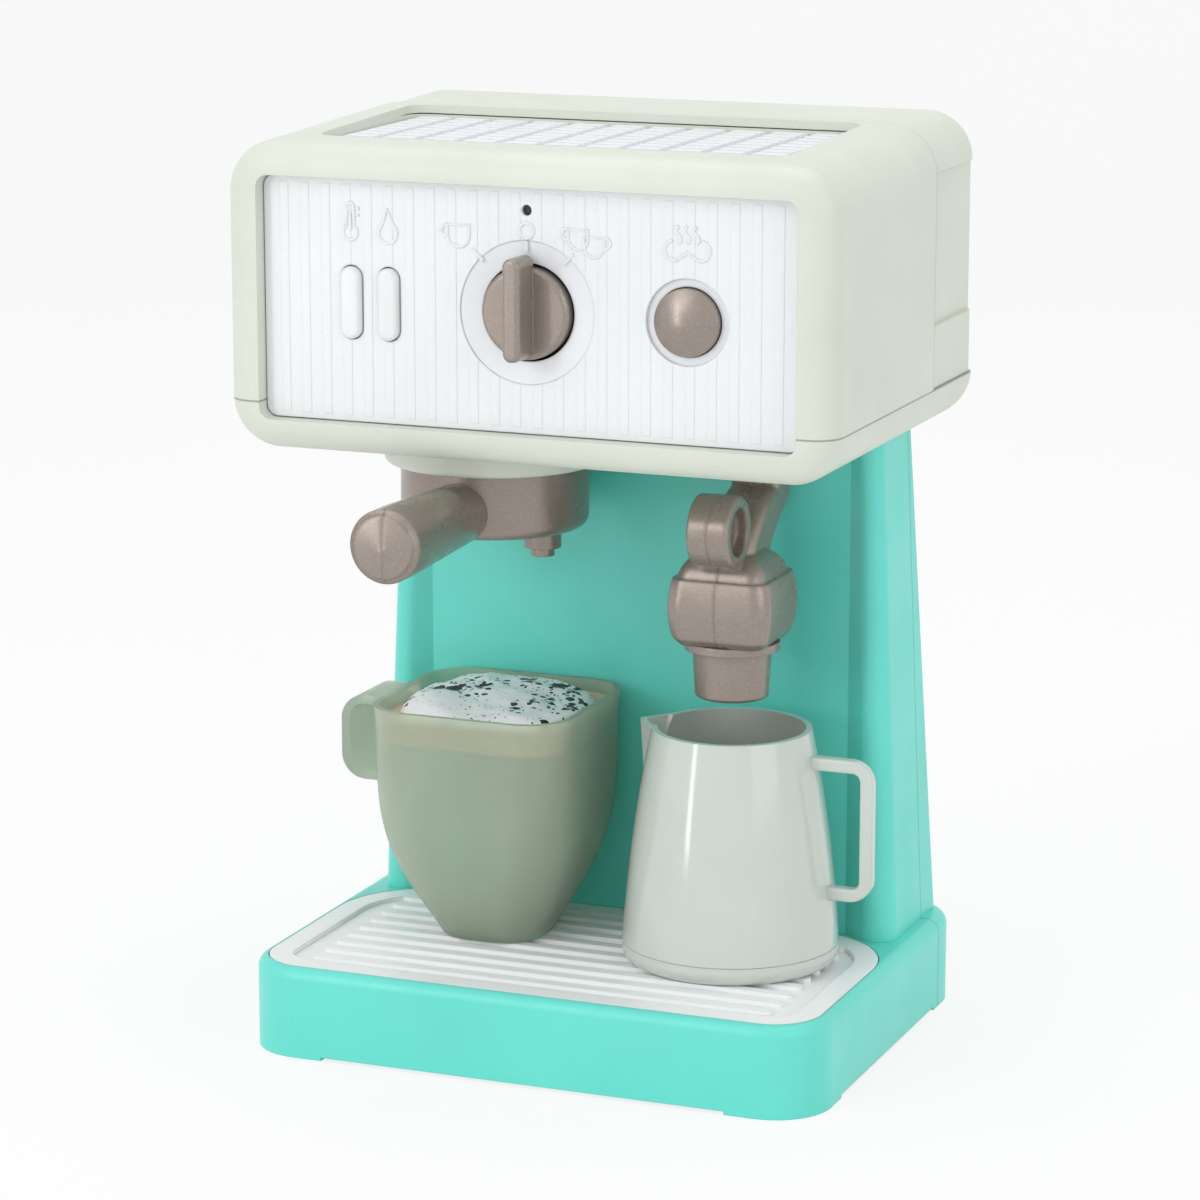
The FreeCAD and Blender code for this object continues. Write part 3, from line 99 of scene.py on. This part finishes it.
TURQUOISE = srgb(104, 222, 207)
SAGE = srgb(214, 219, 205)
WHITE = srgb(232, 234, 236)
# The drip tray's white is the panel's white painted lighter: painted light standing in for the top
# light that the head keeps off the tray
PAINTED_LIGHT_WHITE = srgb(246, 248, 248)
TAUPE = srgb(150, 138, 129)
JUG = srgb(202, 209, 201)
CUP = srgb(217, 227, 209)
PEACH = srgb(238, 205, 178)
LENS = srgb(226, 228, 227)
FOAM = srgb(246, 247, 249)
DARK_CRUMB, BROWN_CRUMB = srgb(18, 16, 16), srgb(52, 44, 42)
BLACK = (0.012, 0.012, 0.013, 1)
GREY_DUST = (0.1, 0.1, 0.1, 1)
DULL_STEEL, BRIGHT_STEEL = (0.42, 0.42, 0.43, 1), (0.62, 0.62, 0.61, 1)
LACQUER, PALE_LACQUER = (0.012, 0.11, 0.045, 1), (0.016, 0.13, 0.055, 1)
DARK_LACQUER, TRACK = (0.01, 0.08, 0.03, 1), (0.05, 0.22, 0.08, 1)
SLEEVE, COPPER, SCUFF = (0.035, 0.038, 0.045, 1), (0.42, 0.30, 0.10, 1), (0.12, 0.12, 0.13, 1)
CARD, PALE_CARD = (0.86, 0.86, 0.86, 1), (0.90, 0.90, 0.90, 1)
COOL_WHITE, PURE_WHITE = (0.96, 0.98, 1.0, 1), (1, 1, 1, 1)


# Materials

class Finish:
    """A material under way: its shader, and the textures that feed it."""

    def __init__(self, name):
        self.material = bpy.data.materials.new(name)
        self.material.use_nodes = True
        self.tree = self.material.node_tree
        self.surface = self.tree.nodes["Principled BSDF"]
        self.place = self.add("ShaderNodeTexCoord").outputs["Object"]

    def add(self, kind, inputs=None, **settings):
        """A new node. An input is a number or colour to set, or a socket to link."""
        node = self.tree.nodes.new(kind)
        for key, value in settings.items():
            setattr(node, key, value)
        for key, value in (inputs or {}).items():
            self.connect(node, key, value)
        return node

    def connect(self, node, key, value):
        """Links a socket to a node's input, or sets a constant there."""
        if isinstance(value, bpy.types.NodeSocket):
            self.tree.links.new(value, node.inputs[key])
        else:
            node.inputs[key].default_value = value

    def feed(self, **inputs):
        """Textures and constants for the shader itself, with _ for a space in the name."""
        for key, value in inputs.items():
            self.connect(self.surface, key.replace("_", " "), value)

    def cloud(self, scale, detail=3.0, rough=0.5, stretch=None):
        """Noise from 0 to 1. Scale is in features per metre, and stretch scales each axis."""
        place = self.place
        if stretch:
            place = self.add("ShaderNodeMapping", {"Vector": place, "Scale": stretch}).outputs[0]
        return self.add("ShaderNodeTexNoise", {
            "Vector": place, "Scale": scale, "Detail": detail, "Roughness": rough}).outputs["Fac"]

    def ramp(self, fac, *stops):
        """Colours along 0 to 1, each stop a position and a colour."""
        node = self.add("ShaderNodeValToRGB", {"Fac": fac})
        marks = node.color_ramp.elements
        while len(marks) < len(stops):
            marks.new(0.5)
        for mark, (position, colour) in zip(marks, stops):
            mark.position = position
            mark.color = colour
        return node.outputs["Color"]

    def mix(self, fac, first, second):
        """The first colour where fac is 0, the second where it is 1."""
        return self.add("ShaderNodeMix", {0: fac, 6: first, 7: second}, data_type="RGBA").outputs[2]

    def scaled(self, fac, low, high, start=0.3, end=0.7):
        """Low where fac is start, high where it is end, and straight between."""
        return self.add("ShaderNodeMapRange", {
            0: fac, 1: start, 2: end, 3: low, 4: high}).outputs[0]

    def maths(self, operation, first, second=0.0):
        """One step of arithmetic."""
        return self.add("ShaderNodeMath", {0: first, 1: second}, operation=operation).outputs[0]

    def soft_edges(self, radius):
        """The normal with every sharp edge rounded off, and how near an edge each point is."""
        rounded = self.add("ShaderNodeBevel", {"Radius": radius}, samples=4).outputs[0]
        flat = self.add("ShaderNodeNewGeometry").outputs["Normal"]
        dot = self.add("ShaderNodeVectorMath", {0: rounded, 1: flat}, operation="DOT_PRODUCT")
        return rounded, self.scaled(dot.outputs["Value"], 1.0, 0.0, 0.72, 0.995)

    def relief(self, normal, *layers):
        """Bump layers, each a height, its depth in metres and its strength."""
        for height, depth, strength in layers:
            inputs = {"Height": height, "Distance": depth, "Strength": strength}
            if normal is not None:
                inputs["Normal"] = normal
            normal = self.add("ShaderNodeBump", inputs).outputs[0]
        self.feed(Normal=normal)


def moulded(name, colour, rough, grain=0.35, worn=0.30, tone=0.045, edge=0.35, coat=0.0, peel=0.0,
            dust=None, joins=()):
    """Injection-moulded plastic: slow tone changes, flow marks, a spark-eroded grain, rubbed edges.

    joins are the shadow lines between mouldings, each an axis and where it crosses it in mm.
    """
    f = Finish(name)
    flow = f.cloud(90, 2.0, 0.6, (1.0, 1.0, 0.16))
    base = f.ramp(f.cloud(26, 4.0), (0.3, shade(colour, 1 - tone)), (0.7, shade(colour, 1 + tone)))
    base = f.mix(f.scaled(flow, 0.0, 0.22, 0.42, 0.75), base, shade(colour, 1 - 2.2 * tone))
    base = f.mix(f.scaled(f.cloud(1500, 1.0), 0.0, 0.16, 0.55, 0.8), base, shade(colour, 0.80))
    rounded, near_edge = f.soft_edges(edge * MM)
    rub = f.maths("MULTIPLY", near_edge, f.scaled(f.cloud(210, 3.0), 0.15, 1.0))
    base = f.mix(f.maths("MULTIPLY", rub, worn), base, dust or shade(colour, 1.25))
    layers = [(f.cloud(130, 2.0), 0.6 * MM, peel),
              (f.cloud(1 / (0.55 * MM), 2.0), 0.05 * MM, grain)]
    groove = None
    for axis, at in joins:
        along = f.add("ShaderNodeSeparateXYZ", {0: f.place}).outputs[axis]
        away = f.maths("ABSOLUTE", f.maths("SUBTRACT", along, at * MM))
        line = f.scaled(away, 1.0, 0.0, 0.12 * MM, 0.34 * MM)
        groove = line if groove is None else f.maths("MAXIMUM", groove, line)
    if groove is not None:
        base = f.mix(f.maths("MULTIPLY", groove, 0.6), base, shade(colour, 0.35))
        layers.append((f.maths("SUBTRACT", 1.0, groove), 0.3 * MM, 0.6))
    streak = f.scaled(f.cloud(420, 2.0, 0.7, (1.0, 0.08, 1.0)), 0.0, 0.025, 0.45, 0.9)
    gloss = f.scaled(f.cloud(70, 4.0), rough - 0.05, rough + 0.06)
    f.feed(Base_Color=base, Roughness=f.maths("ADD", gloss, streak), Coat_Weight=coat,
           Coat_Roughness=0.08, IOR=1.49)
    f.relief(rounded, *layers)
    return f.material


def metallic_look(name, colour, rough, edge=0.45):
    """Plastic with fine metal flakes in it: a dark body, bright flakes, and a soft sheen."""
    f = Finish(name)
    flakes = f.add("ShaderNodeTexVoronoi", {"Vector": f.place, "Scale": 3800.0}, feature="F1")
    glint = f.scaled(flakes.outputs["Color"], 0.0, 1.0, 0.15, 0.95)
    base = f.ramp(glint, (0.0, shade(colour, 0.90)), (0.55, colour), (0.85, shade(colour, 1.12)),
                  (1.0, shade(colour, 1.45)))
    base = f.mix(f.scaled(f.cloud(38, 4.0), 0.0, 0.30), base, shade(colour, 0.88))
    rounded, near_edge = f.soft_edges(edge * MM)
    rub = f.maths("MULTIPLY", near_edge, f.scaled(f.cloud(230, 3.0), 0.2, 1.0))
    base = f.mix(f.maths("MULTIPLY", rub, 0.35), base, shade(colour, 1.5))
    gloss = f.scaled(f.cloud(95, 4.0), rough - 0.05, rough + 0.07)
    f.feed(Base_Color=base, Roughness=gloss, Metallic=0.45, Coat_Weight=0.25, Coat_Roughness=0.2)
    f.relief(rounded, (f.cloud(150, 2.0), 0.5 * MM, 0.06),
             (flakes.outputs["Distance"], 0.02 * MM, 0.18))
    return f.material


def see_through(name, colour):
    """Cloudy, part see-through plastic with milky streaks from the mould."""
    f = Finish(name)
    milk = f.cloud(34, 5.0, 0.55, (1.0, 1.0, 0.5))
    base = f.ramp(milk, (0.3, shade(colour, 0.93)), (0.7, shade(colour, 1.06)))
    gloss = f.scaled(f.cloud(80, 3.0), 0.36, 0.42, 0.2, 0.8)
    f.feed(Base_Color=base, Roughness=gloss, Transmission_Weight=0.70, IOR=1.30)
    f.relief(None, (f.cloud(900, 2.0), 0.04 * MM, 0.2))
    return f.material


def speckled_foam(name):
    """White moulded foam with dark crumbs of uneven size, closer together in some places."""
    f = Finish(name)
    warp = f.add("ShaderNodeTexNoise", {"Vector": f.place, "Scale": 520.0, "Detail": 2.0})
    bent = f.add("ShaderNodeVectorMath", {0: warp.outputs["Color"], 1: (1.6 * MM,) * 3},
                 operation="MULTIPLY")
    place = f.add("ShaderNodeVectorMath", {0: f.place, 1: bent.outputs[0]},
                  operation="ADD").outputs[0]
    thick = f.scaled(f.cloud(48, 2.0), 0.25, 1.05, 0.36, 0.58)
    dark = None
    for scale, reach, share in ((250.0, 0.85, 0.50), (430.0, 0.80, 0.45), (800.0, 0.75, 0.36)):
        cell = f.add("ShaderNodeTexVoronoi", {"Vector": place, "Scale": scale}, feature="F1")
        chance = f.add("ShaderNodeSeparateColor", {0: cell.outputs["Color"]}).outputs[0]
        size = f.maths("MULTIPLY", f.scaled(chance, 0.0, reach, 1 - share, 1.0), thick)
        spot = f.maths("LESS_THAN", cell.outputs["Distance"], size)
        dark = spot if dark is None else f.maths("MAXIMUM", dark, spot)
    tint = f.ramp(f.cloud(140, 4.0), (0.3, shade(FOAM, 0.94)), (0.7, FOAM))
    crumbs = f.ramp(f.cloud(900, 2.0), (0.3, DARK_CRUMB), (0.7, BROWN_CRUMB))
    f.feed(Base_Color=f.mix(dark, tint, crumbs), Roughness=f.scaled(f.cloud(160, 3.0), 0.42, 0.58),
           Subsurface_Weight=0.12, Subsurface_Radius=(3 * MM,) * 3)
    f.relief(None, (f.cloud(240, 4.0, 0.6), 1.2 * MM, 0.35), (dark, 0.3 * MM, 0.5))
    return f.material


def steel(name):
    """Plain steel with fine drawn lines along Y."""
    f = Finish(name)
    brushed = f.cloud(700, 2.0, 0.6, (1.0, 0.05, 1.0))
    f.feed(Base_Color=f.ramp(f.cloud(300, 3.0), (0.3, DULL_STEEL), (0.7, BRIGHT_STEEL)),
           Roughness=f.scaled(brushed, 0.26, 0.44), Metallic=1.0)
    f.relief(f.soft_edges(0.2 * MM)[0], (brushed, 0.03 * MM, 0.4))
    return f.material


def board(name):
    """Green lacquer over a grid of copper tracks."""
    f = Finish(name)
    upright = f.add("ShaderNodeMapping", {"Vector": f.place, "Rotation": (math.pi / 2, 0, 0)})
    tracks = f.add("ShaderNodeTexBrick", {
        "Vector": upright.outputs[0], "Scale": 90.0, "Mortar Size": 0.03,
        "Color1": LACQUER, "Color2": PALE_LACQUER, "Mortar": TRACK})
    uneven = f.scaled(f.cloud(60, 3.0), 0.0, 0.4)
    f.feed(Base_Color=f.mix(uneven, tracks.outputs["Color"], DARK_LACQUER),
           Roughness=f.scaled(f.cloud(150, 2.0), 0.28, 0.4))
    f.relief(None, (tracks.outputs["Fac"], 0.1 * MM, 0.5))
    return f.material


def wrap(name):
    """The sleeve of a cell: a dark middle, copper-coloured ends, slightly wrinkled."""
    f = Finish(name)
    across = f.add("ShaderNodeSeparateXYZ", {0: f.place}).outputs[X_AXIS]
    band = f.maths("GREATER_THAN", f.maths("ABSOLUTE", across), 10 * MM)
    uneven = f.scaled(f.cloud(200, 3.0), 0.0, 0.3)
    f.feed(Base_Color=f.mix(uneven, f.mix(band, SLEEVE, COPPER), SCUFF),
           Roughness=f.scaled(f.cloud(120, 3.0), 0.2, 0.35))
    f.relief(None, (f.cloud(260, 2.0), 0.3 * MM, 0.2))
    return f.material


finish = {
    "turquoise": moulded("turquoise_plastic", TURQUOISE, 0.34, grain=0.22, worn=0.22, tone=0.03,
                         joins=((Y_AXIS, COVER_SEAM),)),
    "sage": moulded("sage_plastic", SAGE, 0.42, grain=0.30, worn=0.25, tone=0.03,
                    joins=((Z_AXIS, HEAD_PARTING), (Y_AXIS, REAR_SEAM))),
    "sage_low": moulded("sage_low_plastic", SAGE, 0.42, grain=0.30, worn=0.25, tone=0.03,
                        joins=((Z_AXIS, HEAD_PARTING),)),
    "white": moulded("white_plastic", WHITE, 0.38, grain=0.25, worn=0.2, tone=0.02),
    # The tray wears a lighter copy of the white plastic: painted light on the tray
    "tray": moulded("tray_painted_light_plastic", PAINTED_LIGHT_WHITE, 0.36, grain=0.22, worn=0.1, tone=0.015, edge=0.6),
    "panel": moulded("panel_plastic", WHITE, 0.36, grain=0.25, worn=0.0, tone=0.02, edge=0.6),
    "taupe": metallic_look("taupe_plastic", TAUPE, 0.30),
    "taupe_soft": metallic_look("taupe_soft_plastic", TAUPE, 0.28, edge=1.6),
    "jug": moulded("jug_plastic", JUG, 0.13, grain=0.05, worn=0.2, tone=0.03, coat=0.5, peel=0.06),
    "cup": see_through("cup_plastic", CUP),
    "peach": moulded("peach_plastic", PEACH, 0.5, grain=0.3),
    "foam": speckled_foam("speckled_foam"),
    "lens": moulded("lens_plastic", LENS, 0.2, grain=0.1, coat=0.3, peel=0.05),
    "black": moulded("black_plastic", BLACK, 0.45, worn=0.15, dust=GREY_DUST),
    "steel": steel("plain_steel"),
    "board": board("board_lacquer"),
    "wrap": wrap("cell_wrap"),
}

WORN_BY = {
    "turquoise": ("base_shell", "base_plate", "column_shell", "column_rear_cover"),
    "sage": ("head_upper_shell", "head_rear_cover"),
    "sage_low": ("head_lower_shell", "battery_door", "group_ring"),
    "white": ("cup_warmer_grille",),
    "tray": ("drip_tray",),
    "taupe": ("knob_cap", "steam_button", "portafilter_body", "wand_nozzle"),
    "taupe_soft": ("handle_left_half", "handle_right_half", "wand_left_half", "wand_right_half"),
    "jug": ("jug_shell", "jug_base"),
    "cup": ("cup_shell",),
    "peach": ("latte_plug",),
    "foam": ("latte_foam",),
    "lens": ("left_indicator_lens", "right_indicator_lens"),
    "black": ("battery_holder", "knob_switch", "button_switch", "speaker", "status_light"),
    "steel": ("base_screws", "door_screw", "button_spring"),
    "board": ("circuit_board",),
    "wrap": ("batteries",),
}


def dress(data, material):
    """The material in place of any that the mesh has."""
    data.materials.clear()
    data.materials.append(material)


for kind, members in WORN_BY.items():
    for member in members:
        dress(nodes[member].data, finish[kind])


# Pieces

def show(name, data):
    """A new object that holds the data."""
    piece = bpy.data.objects.new(name, data)
    bpy.context.collection.objects.link(piece)
    return piece


def show_mesh(name, mesh, material):
    """A new smooth object from a finished bmesh."""
    data = bpy.data.meshes.new(name)
    mesh.to_mesh(data)
    mesh.free()
    data.shade_smooth()
    data.materials.append(material)
    return show(name, data)


# Control panel

DISH_SHARE = 0.3
DISH_DEPTH = 1.4
DISH_INNER, DISH_OUTER = 17.0, 21.0


def ribbed_panel():
    """The panel with its ribs worn down to the low soft waves that the moulding has.

    The dish round the knob turns from a step into a shallow cone.
    """
    piece = show("ribbed_panel", nodes["front_panel"].data.copy())
    plane = PANEL_PLANE * MM
    for vertex in piece.data.vertices:
        x, y, z = vertex.co
        from_knob = math.hypot(x - KNOB[0] * MM, z - KNOB[1] * MM) / MM
        if y < plane:
            vertex.co.y = plane + (y - plane) * RIB_SHARE
        elif y < plane + DISH_DEPTH * MM and DISH_INNER < from_knob < DISH_OUTER:
            vertex.co.y = plane + (y - plane) * DISH_SHARE
    dress(piece.data, finish["panel"])
    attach(piece, "machine")
    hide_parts("front_panel")


ribbed_panel()


# Raised signs on the control panel: strokes, in mm from the control that each sign belongs to

FINE_BEAD, BEAD, BOLD_BEAD = 0.95, 1.0, 1.05


def arc(x, z, radius, start, end, count):
    """Points on an arc about (x, z), angles in degrees from +X towards +Z."""
    points = []
    for number in range(count + 1):
        angle = math.radians(start + (end - start) * number / count)
        points.append((x + radius * math.cos(angle), z + radius * math.sin(angle)))
    return points


def stroke(*points, closed=False):
    """The (x, z) points of one line, and whether its end joins its start."""
    return points, closed


def raised_lines(name, control, strokes, width):
    """Rounded beads on the panel along the strokes."""
    from_x, from_z = control
    curve = bpy.data.curves.new(name, "CURVE")
    curve.dimensions = "3D"
    curve.bevel_depth = width / 2 * MM
    curve.bevel_resolution = 3
    curve.use_fill_caps = True
    for points, closed in strokes:
        spline = curve.splines.new("POLY")
        spline.points.add(len(points) - 1)
        for point, (x, z) in zip(spline.points, points):
            point.co = ((from_x + x) * MM, SIGN_PLANE * MM, (from_z + z) * MM, 1)
        spline.use_cyclic_u = closed
    curve.materials.append(finish["white"])
    piece = show(name, curve)
    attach(piece, "machine")


def thermometer(x, z):
    """A bulb at (x, z) under a tube with a round top, the liquid in it, and two marks beside it."""
    bulb = arc(x, z, 2.15, 125, 415, 18)
    top = arc(x, z + 7.3, 1.0, 0, 180, 8)
    outline = stroke(*bulb, (x + 1.0, z + 7.2), *top, (x - 1.2, z + 1.8), closed=True)
    marks = [stroke((x + 1.6, z + rise), (x + 2.8, z + rise)) for rise in (6.8, 5.0)]
    return [outline, stroke((x, z + 0.6), (x, z + 5.2)), *marks]


def drop(x, z, radius, height):
    """A round foot that runs up to a point."""
    waist, waist_z = radius * 0.55, z + height * 0.42
    tip = [(x + waist, waist_z), (x, z + height), (x - waist, waist_z)]
    return [stroke(*arc(x, z, radius, 160, 380, 18), *tip, closed=True)]


def cup(x, z, width, height, side):
    """A cup seen from the side: a closed bowl, and a handle on the left (-1) or right (1)."""
    left, right, top = x - width / 2, x + width / 2, z + height / 2
    bowl = [(left, top), (left, z)] + arc(x, z, width / 2, 180, 360, 12) + [(right, top)]
    grip = []
    for degrees in range(0, 181, 20):
        angle = math.radians(degrees)
        grip.append((x + side * (width / 2 + 1.9 * math.sin(angle)),
                     z + 1.1 + 1.6 * math.cos(angle)))
    return [stroke(*bowl, closed=True), stroke(*grip)]


def steam(x, z):
    """Three wavy plumes over two puffs and a small peak."""
    strokes = []
    for shift in (-2.6, 0.0, 2.6):
        plume = [(x + shift + 0.8 * math.sin(step / 9 * 2 * math.pi), z + 0.2 + step * 0.52)
                 for step in range(10)]
        strokes.append(stroke(*plume))
    for side in (-1, 1):
        puff = arc(x + side * 3.9, z - 1.7, 2.7, 90 - side * 10, 90 - side * 200, 12)
        strokes.append(stroke(*puff))
    strokes.append(stroke((x - 3.2, z - 4.3), (x, z - 2.2), (x + 3.2, z - 4.3)))
    return strokes


raised_lines("sign_thermometer", LEFT_LENS, thermometer(-0.2, 19.6), FINE_BEAD)
raised_lines("sign_drop", RIGHT_LENS, drop(-0.2, 19.9, 2.8, 6.6), BOLD_BEAD)
raised_lines("sign_one_cup", KNOB, [
    *cup(-20.4, 20.6, 6.6, 5.4, -1), stroke((-16.2, 17.0), (-12.9, 13.7))], BOLD_BEAD)
raised_lines("sign_off", KNOB, [
    stroke(*arc(0, 22.7, 2.1, 0, 342, 18), closed=True), stroke((0, 19.9), (0, 17.0))], BOLD_BEAD)
raised_lines("sign_two_cups", KNOB, [
    *cup(15.2, 21.2, 5.8, 5.0, -1), *cup(19.9, 19.2, 5.8, 5.0, 1),
    stroke((13.9, 17.0), (10.8, 13.9))], FINE_BEAD)
raised_lines("sign_steam", BUTTON, steam(0, 21.3), BEAD)


# Foam dome of the pretend drink

def foam_dome():
    """A lumpy dome with the outline of the insert, lower at its edge."""
    low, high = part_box("latte_foam")
    centre = (low + high) / 2
    half_x, half_y = (high.x - low.x) / 2, (high.y - low.y) / 2
    rings, around, squareness, inset, lumps = 34, 120, 2.7, 0.97, 62
    mesh = bmesh.new()
    grid = []
    for ring in range(rings + 1):
        share = ring / rings
        profile = (1 - 0.45 * share ** 2.2) * math.sqrt(max(0.0, 1 - share ** 9))
        row = []
        for step in range(around):
            angle = 2 * math.pi * step / around
            c, s = math.cos(angle), math.sin(angle)
            reach = inset * (abs(c) ** squareness + abs(s) ** squareness) ** (-1 / squareness)
            x, y = half_x * share * reach * c, half_y * share * reach * s
            spot = Vector((x * lumps, y * lumps, 0.4))
            lump = 2.0 * MM * noise.noise(spot) + 0.9 * MM * noise.noise(spot * 2.7)
            rise = (high.z - low.z) * profile + (lump - 1.2 * MM) * (1 - share ** 6)
            row.append(mesh.verts.new((centre.x + x, centre.y + y, low.z + max(0.2 * MM, rise))))
            if ring == 0:
                break
        grid.append(row)
    floor = [mesh.verts.new((vertex.co.x, vertex.co.y, low.z)) for vertex in grid[-1]]
    for step in range(around):
        after = (step + 1) % around
        mesh.faces.new((grid[0][0], grid[1][step], grid[1][after]))
        for inner, outer in zip(grid[1:-1], grid[2:]):
            mesh.faces.new((inner[step], outer[step], outer[after], inner[after]))
        mesh.faces.new((grid[-1][step], floor[step], floor[after], grid[-1][after]))
    mesh.faces.new(list(reversed(floor)))
    piece = show_mesh("foam_dome", mesh, finish["foam"])
    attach(piece, "insert")
    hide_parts("latte_foam")


foam_dome()


# Spring under the push button

def coil_spring():
    """Wound wire with its end turns close together."""
    low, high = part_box("button_spring")
    centre = (low + high) / 2
    wire = 0.42 * MM
    radius = (high.x - low.x) / 2 - wire
    length = high.y - low.y - 2 * wire
    turns, steps, sides = 7, 36, 8
    total = turns * steps
    points = []
    for number in range(total + 1):
        share = number / total
        rise = share + 0.055 * math.sin(2 * math.pi * share) / math.pi
        angle = 2 * math.pi * turns * share
        points.append(Vector((
            centre.x + radius * math.cos(angle), low.y + wire + length * rise,
            centre.z + radius * math.sin(angle))))
    mesh = bmesh.new()
    rings = []
    for number, point in enumerate(points):
        ahead = points[min(number + 1, total)] - points[max(number - 1, 0)]
        outward = Vector((point.x - centre.x, 0, point.z - centre.z)).normalized()
        across = ahead.normalized().cross(outward)
        ring = []
        for side in range(sides):
            angle = 2 * math.pi * side / sides
            spoke = math.cos(angle) * outward + math.sin(angle) * across
            ring.append(mesh.verts.new(point + wire * spoke))
        rings.append(ring)
    for first, second in zip(rings[:-1], rings[1:]):
        for side in range(sides):
            after = (side + 1) % sides
            mesh.faces.new((first[side], first[after], second[after], second[side]))
    mesh.faces.new(rings[0])
    mesh.faces.new(list(reversed(rings[-1])))
    bmesh.ops.recalc_face_normals(mesh, faces=mesh.faces)
    piece = show_mesh("coil_spring", mesh, finish["steel"])
    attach(piece, "machine")
    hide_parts("button_spring")
    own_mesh(piece)


coil_spring()


# Stage, lamps, world and camera

def backdrop_material():
    """Matt pale card, nearly white to the camera and in reflections, with the shadow on it."""
    f = Finish("pale_backdrop")
    f.feed(Base_Color=f.ramp(f.cloud(3.0, 3.0), (0.3, CARD), (0.7, PALE_CARD)), Roughness=0.9)
    glow = f.add("ShaderNodeEmission", {"Color": PURE_WHITE, "Strength": 1.0})
    ray = f.add("ShaderNodeLightPath")
    mirrored = f.maths("MAXIMUM", ray.outputs["Is Glossy Ray"], ray.outputs["Is Transmission Ray"])
    seen = f.maths("MULTIPLY", f.maths("MAXIMUM", ray.outputs["Is Camera Ray"], mirrored), 0.8)
    mixed = f.add("ShaderNodeMixShader", {0: seen, 1: f.surface.outputs[0], 2: glow.outputs[0]})
    f.tree.links.new(mixed.outputs[0], f.tree.nodes["Material Output"].inputs["Surface"])
    return f.material


def make_stage():
    """A floor that curves up into a wall behind the object."""
    half_width, front, bend_start, bend, wall_top = 3.2, -2.4, 1.6, 0.7, 3.2
    profile = [(front, 0.0), (bend_start, 0.0)]
    for number in range(1, 13):
        angle = math.radians(90 * number / 12)
        profile.append((bend_start + bend * math.sin(angle), bend - bend * math.cos(angle)))
    profile.append((bend_start + bend, wall_top))
    mesh = bmesh.new()
    left, right = [[mesh.verts.new((x, y, z)) for y, z in profile]
                   for x in (-half_width, half_width)]
    for number in range(len(profile) - 1):
        mesh.faces.new((left[number], right[number], right[number + 1], left[number + 1]))
    floor = show_mesh("stage_floor", mesh, backdrop_material())


make_stage()

MIDDLE = Vector((0.0, 0.0, 0.14))


def lamp(name, place, size, power, size_y=None):
    """A soft area lamp aimed at the middle of the object."""
    data = bpy.data.lights.new(name, "AREA")
    data.shape = "RECTANGLE" if size_y else "SQUARE"
    data.size = size
    if size_y:
        data.size_y = size_y
    data.energy = power
    piece = show(name, data)
    piece.location = place
    piece.rotation_euler = (MIDDLE - Vector(place)).to_track_quat("-Z", "Y").to_euler()


lamp("key", (-0.75, -1.35, 1.05), 1.0, 6.0)
lamp("fill", (1.3, -0.6, 0.6), 1.0, 3.2)
lamp("top", (0.0, 0.15, 1.5), 1.1, 6.0)
lamp("strip", (-0.62, -1.1, 0.25), 0.12, 2.2, 0.9)


def make_world():
    """A dim room for diffuse light, and plain white for the camera and for reflections."""
    world = bpy.data.worlds.new("pale_room")
    bpy.context.scene.world = world
    world.use_nodes = True
    tree = world.node_tree
    tree.nodes.clear()

    ray = tree.nodes.new("ShaderNodeLightPath")
    seen = ray.outputs["Is Camera Ray"]
    for kind in ("Is Transmission Ray", "Is Glossy Ray"):
        either = tree.nodes.new("ShaderNodeMath")
        either.operation = "MAXIMUM"
        tree.links.new(seen, either.inputs[0])
        tree.links.new(ray.outputs[kind], either.inputs[1])
        seen = either.outputs[0]
    mixed = tree.nodes.new("ShaderNodeMixShader")
    tree.links.new(seen, mixed.inputs[0])
    room, plain_white = (COOL_WHITE, 0.72), (PURE_WHITE, 1.0)
    for number, (colour, strength) in enumerate((room, plain_white), start=1):
        background = tree.nodes.new("ShaderNodeBackground")
        background.inputs["Color"].default_value = colour
        background.inputs["Strength"].default_value = strength
        tree.links.new(background.outputs[0], mixed.inputs[number])
    output = tree.nodes.new("ShaderNodeOutputWorld")
    tree.links.new(mixed.outputs[0], output.inputs[0])


make_world()

# Fitted to the photograph: 21.9 degrees right of the front, looking 12.6 degrees down
camera_data = bpy.data.cameras.new("camera")
camera_data.sensor_width = 36.0
camera_data.lens = 128.1
camera = show("camera", camera_data)
camera.location = (0.45240, -1.13067, 0.39989)
camera.rotation_euler = (math.radians(90 - 12.599), 0, math.radians(21.922))
bpy.context.scene.camera = camera
bpy.context.scene.view_settings.view_transform = "Standard"
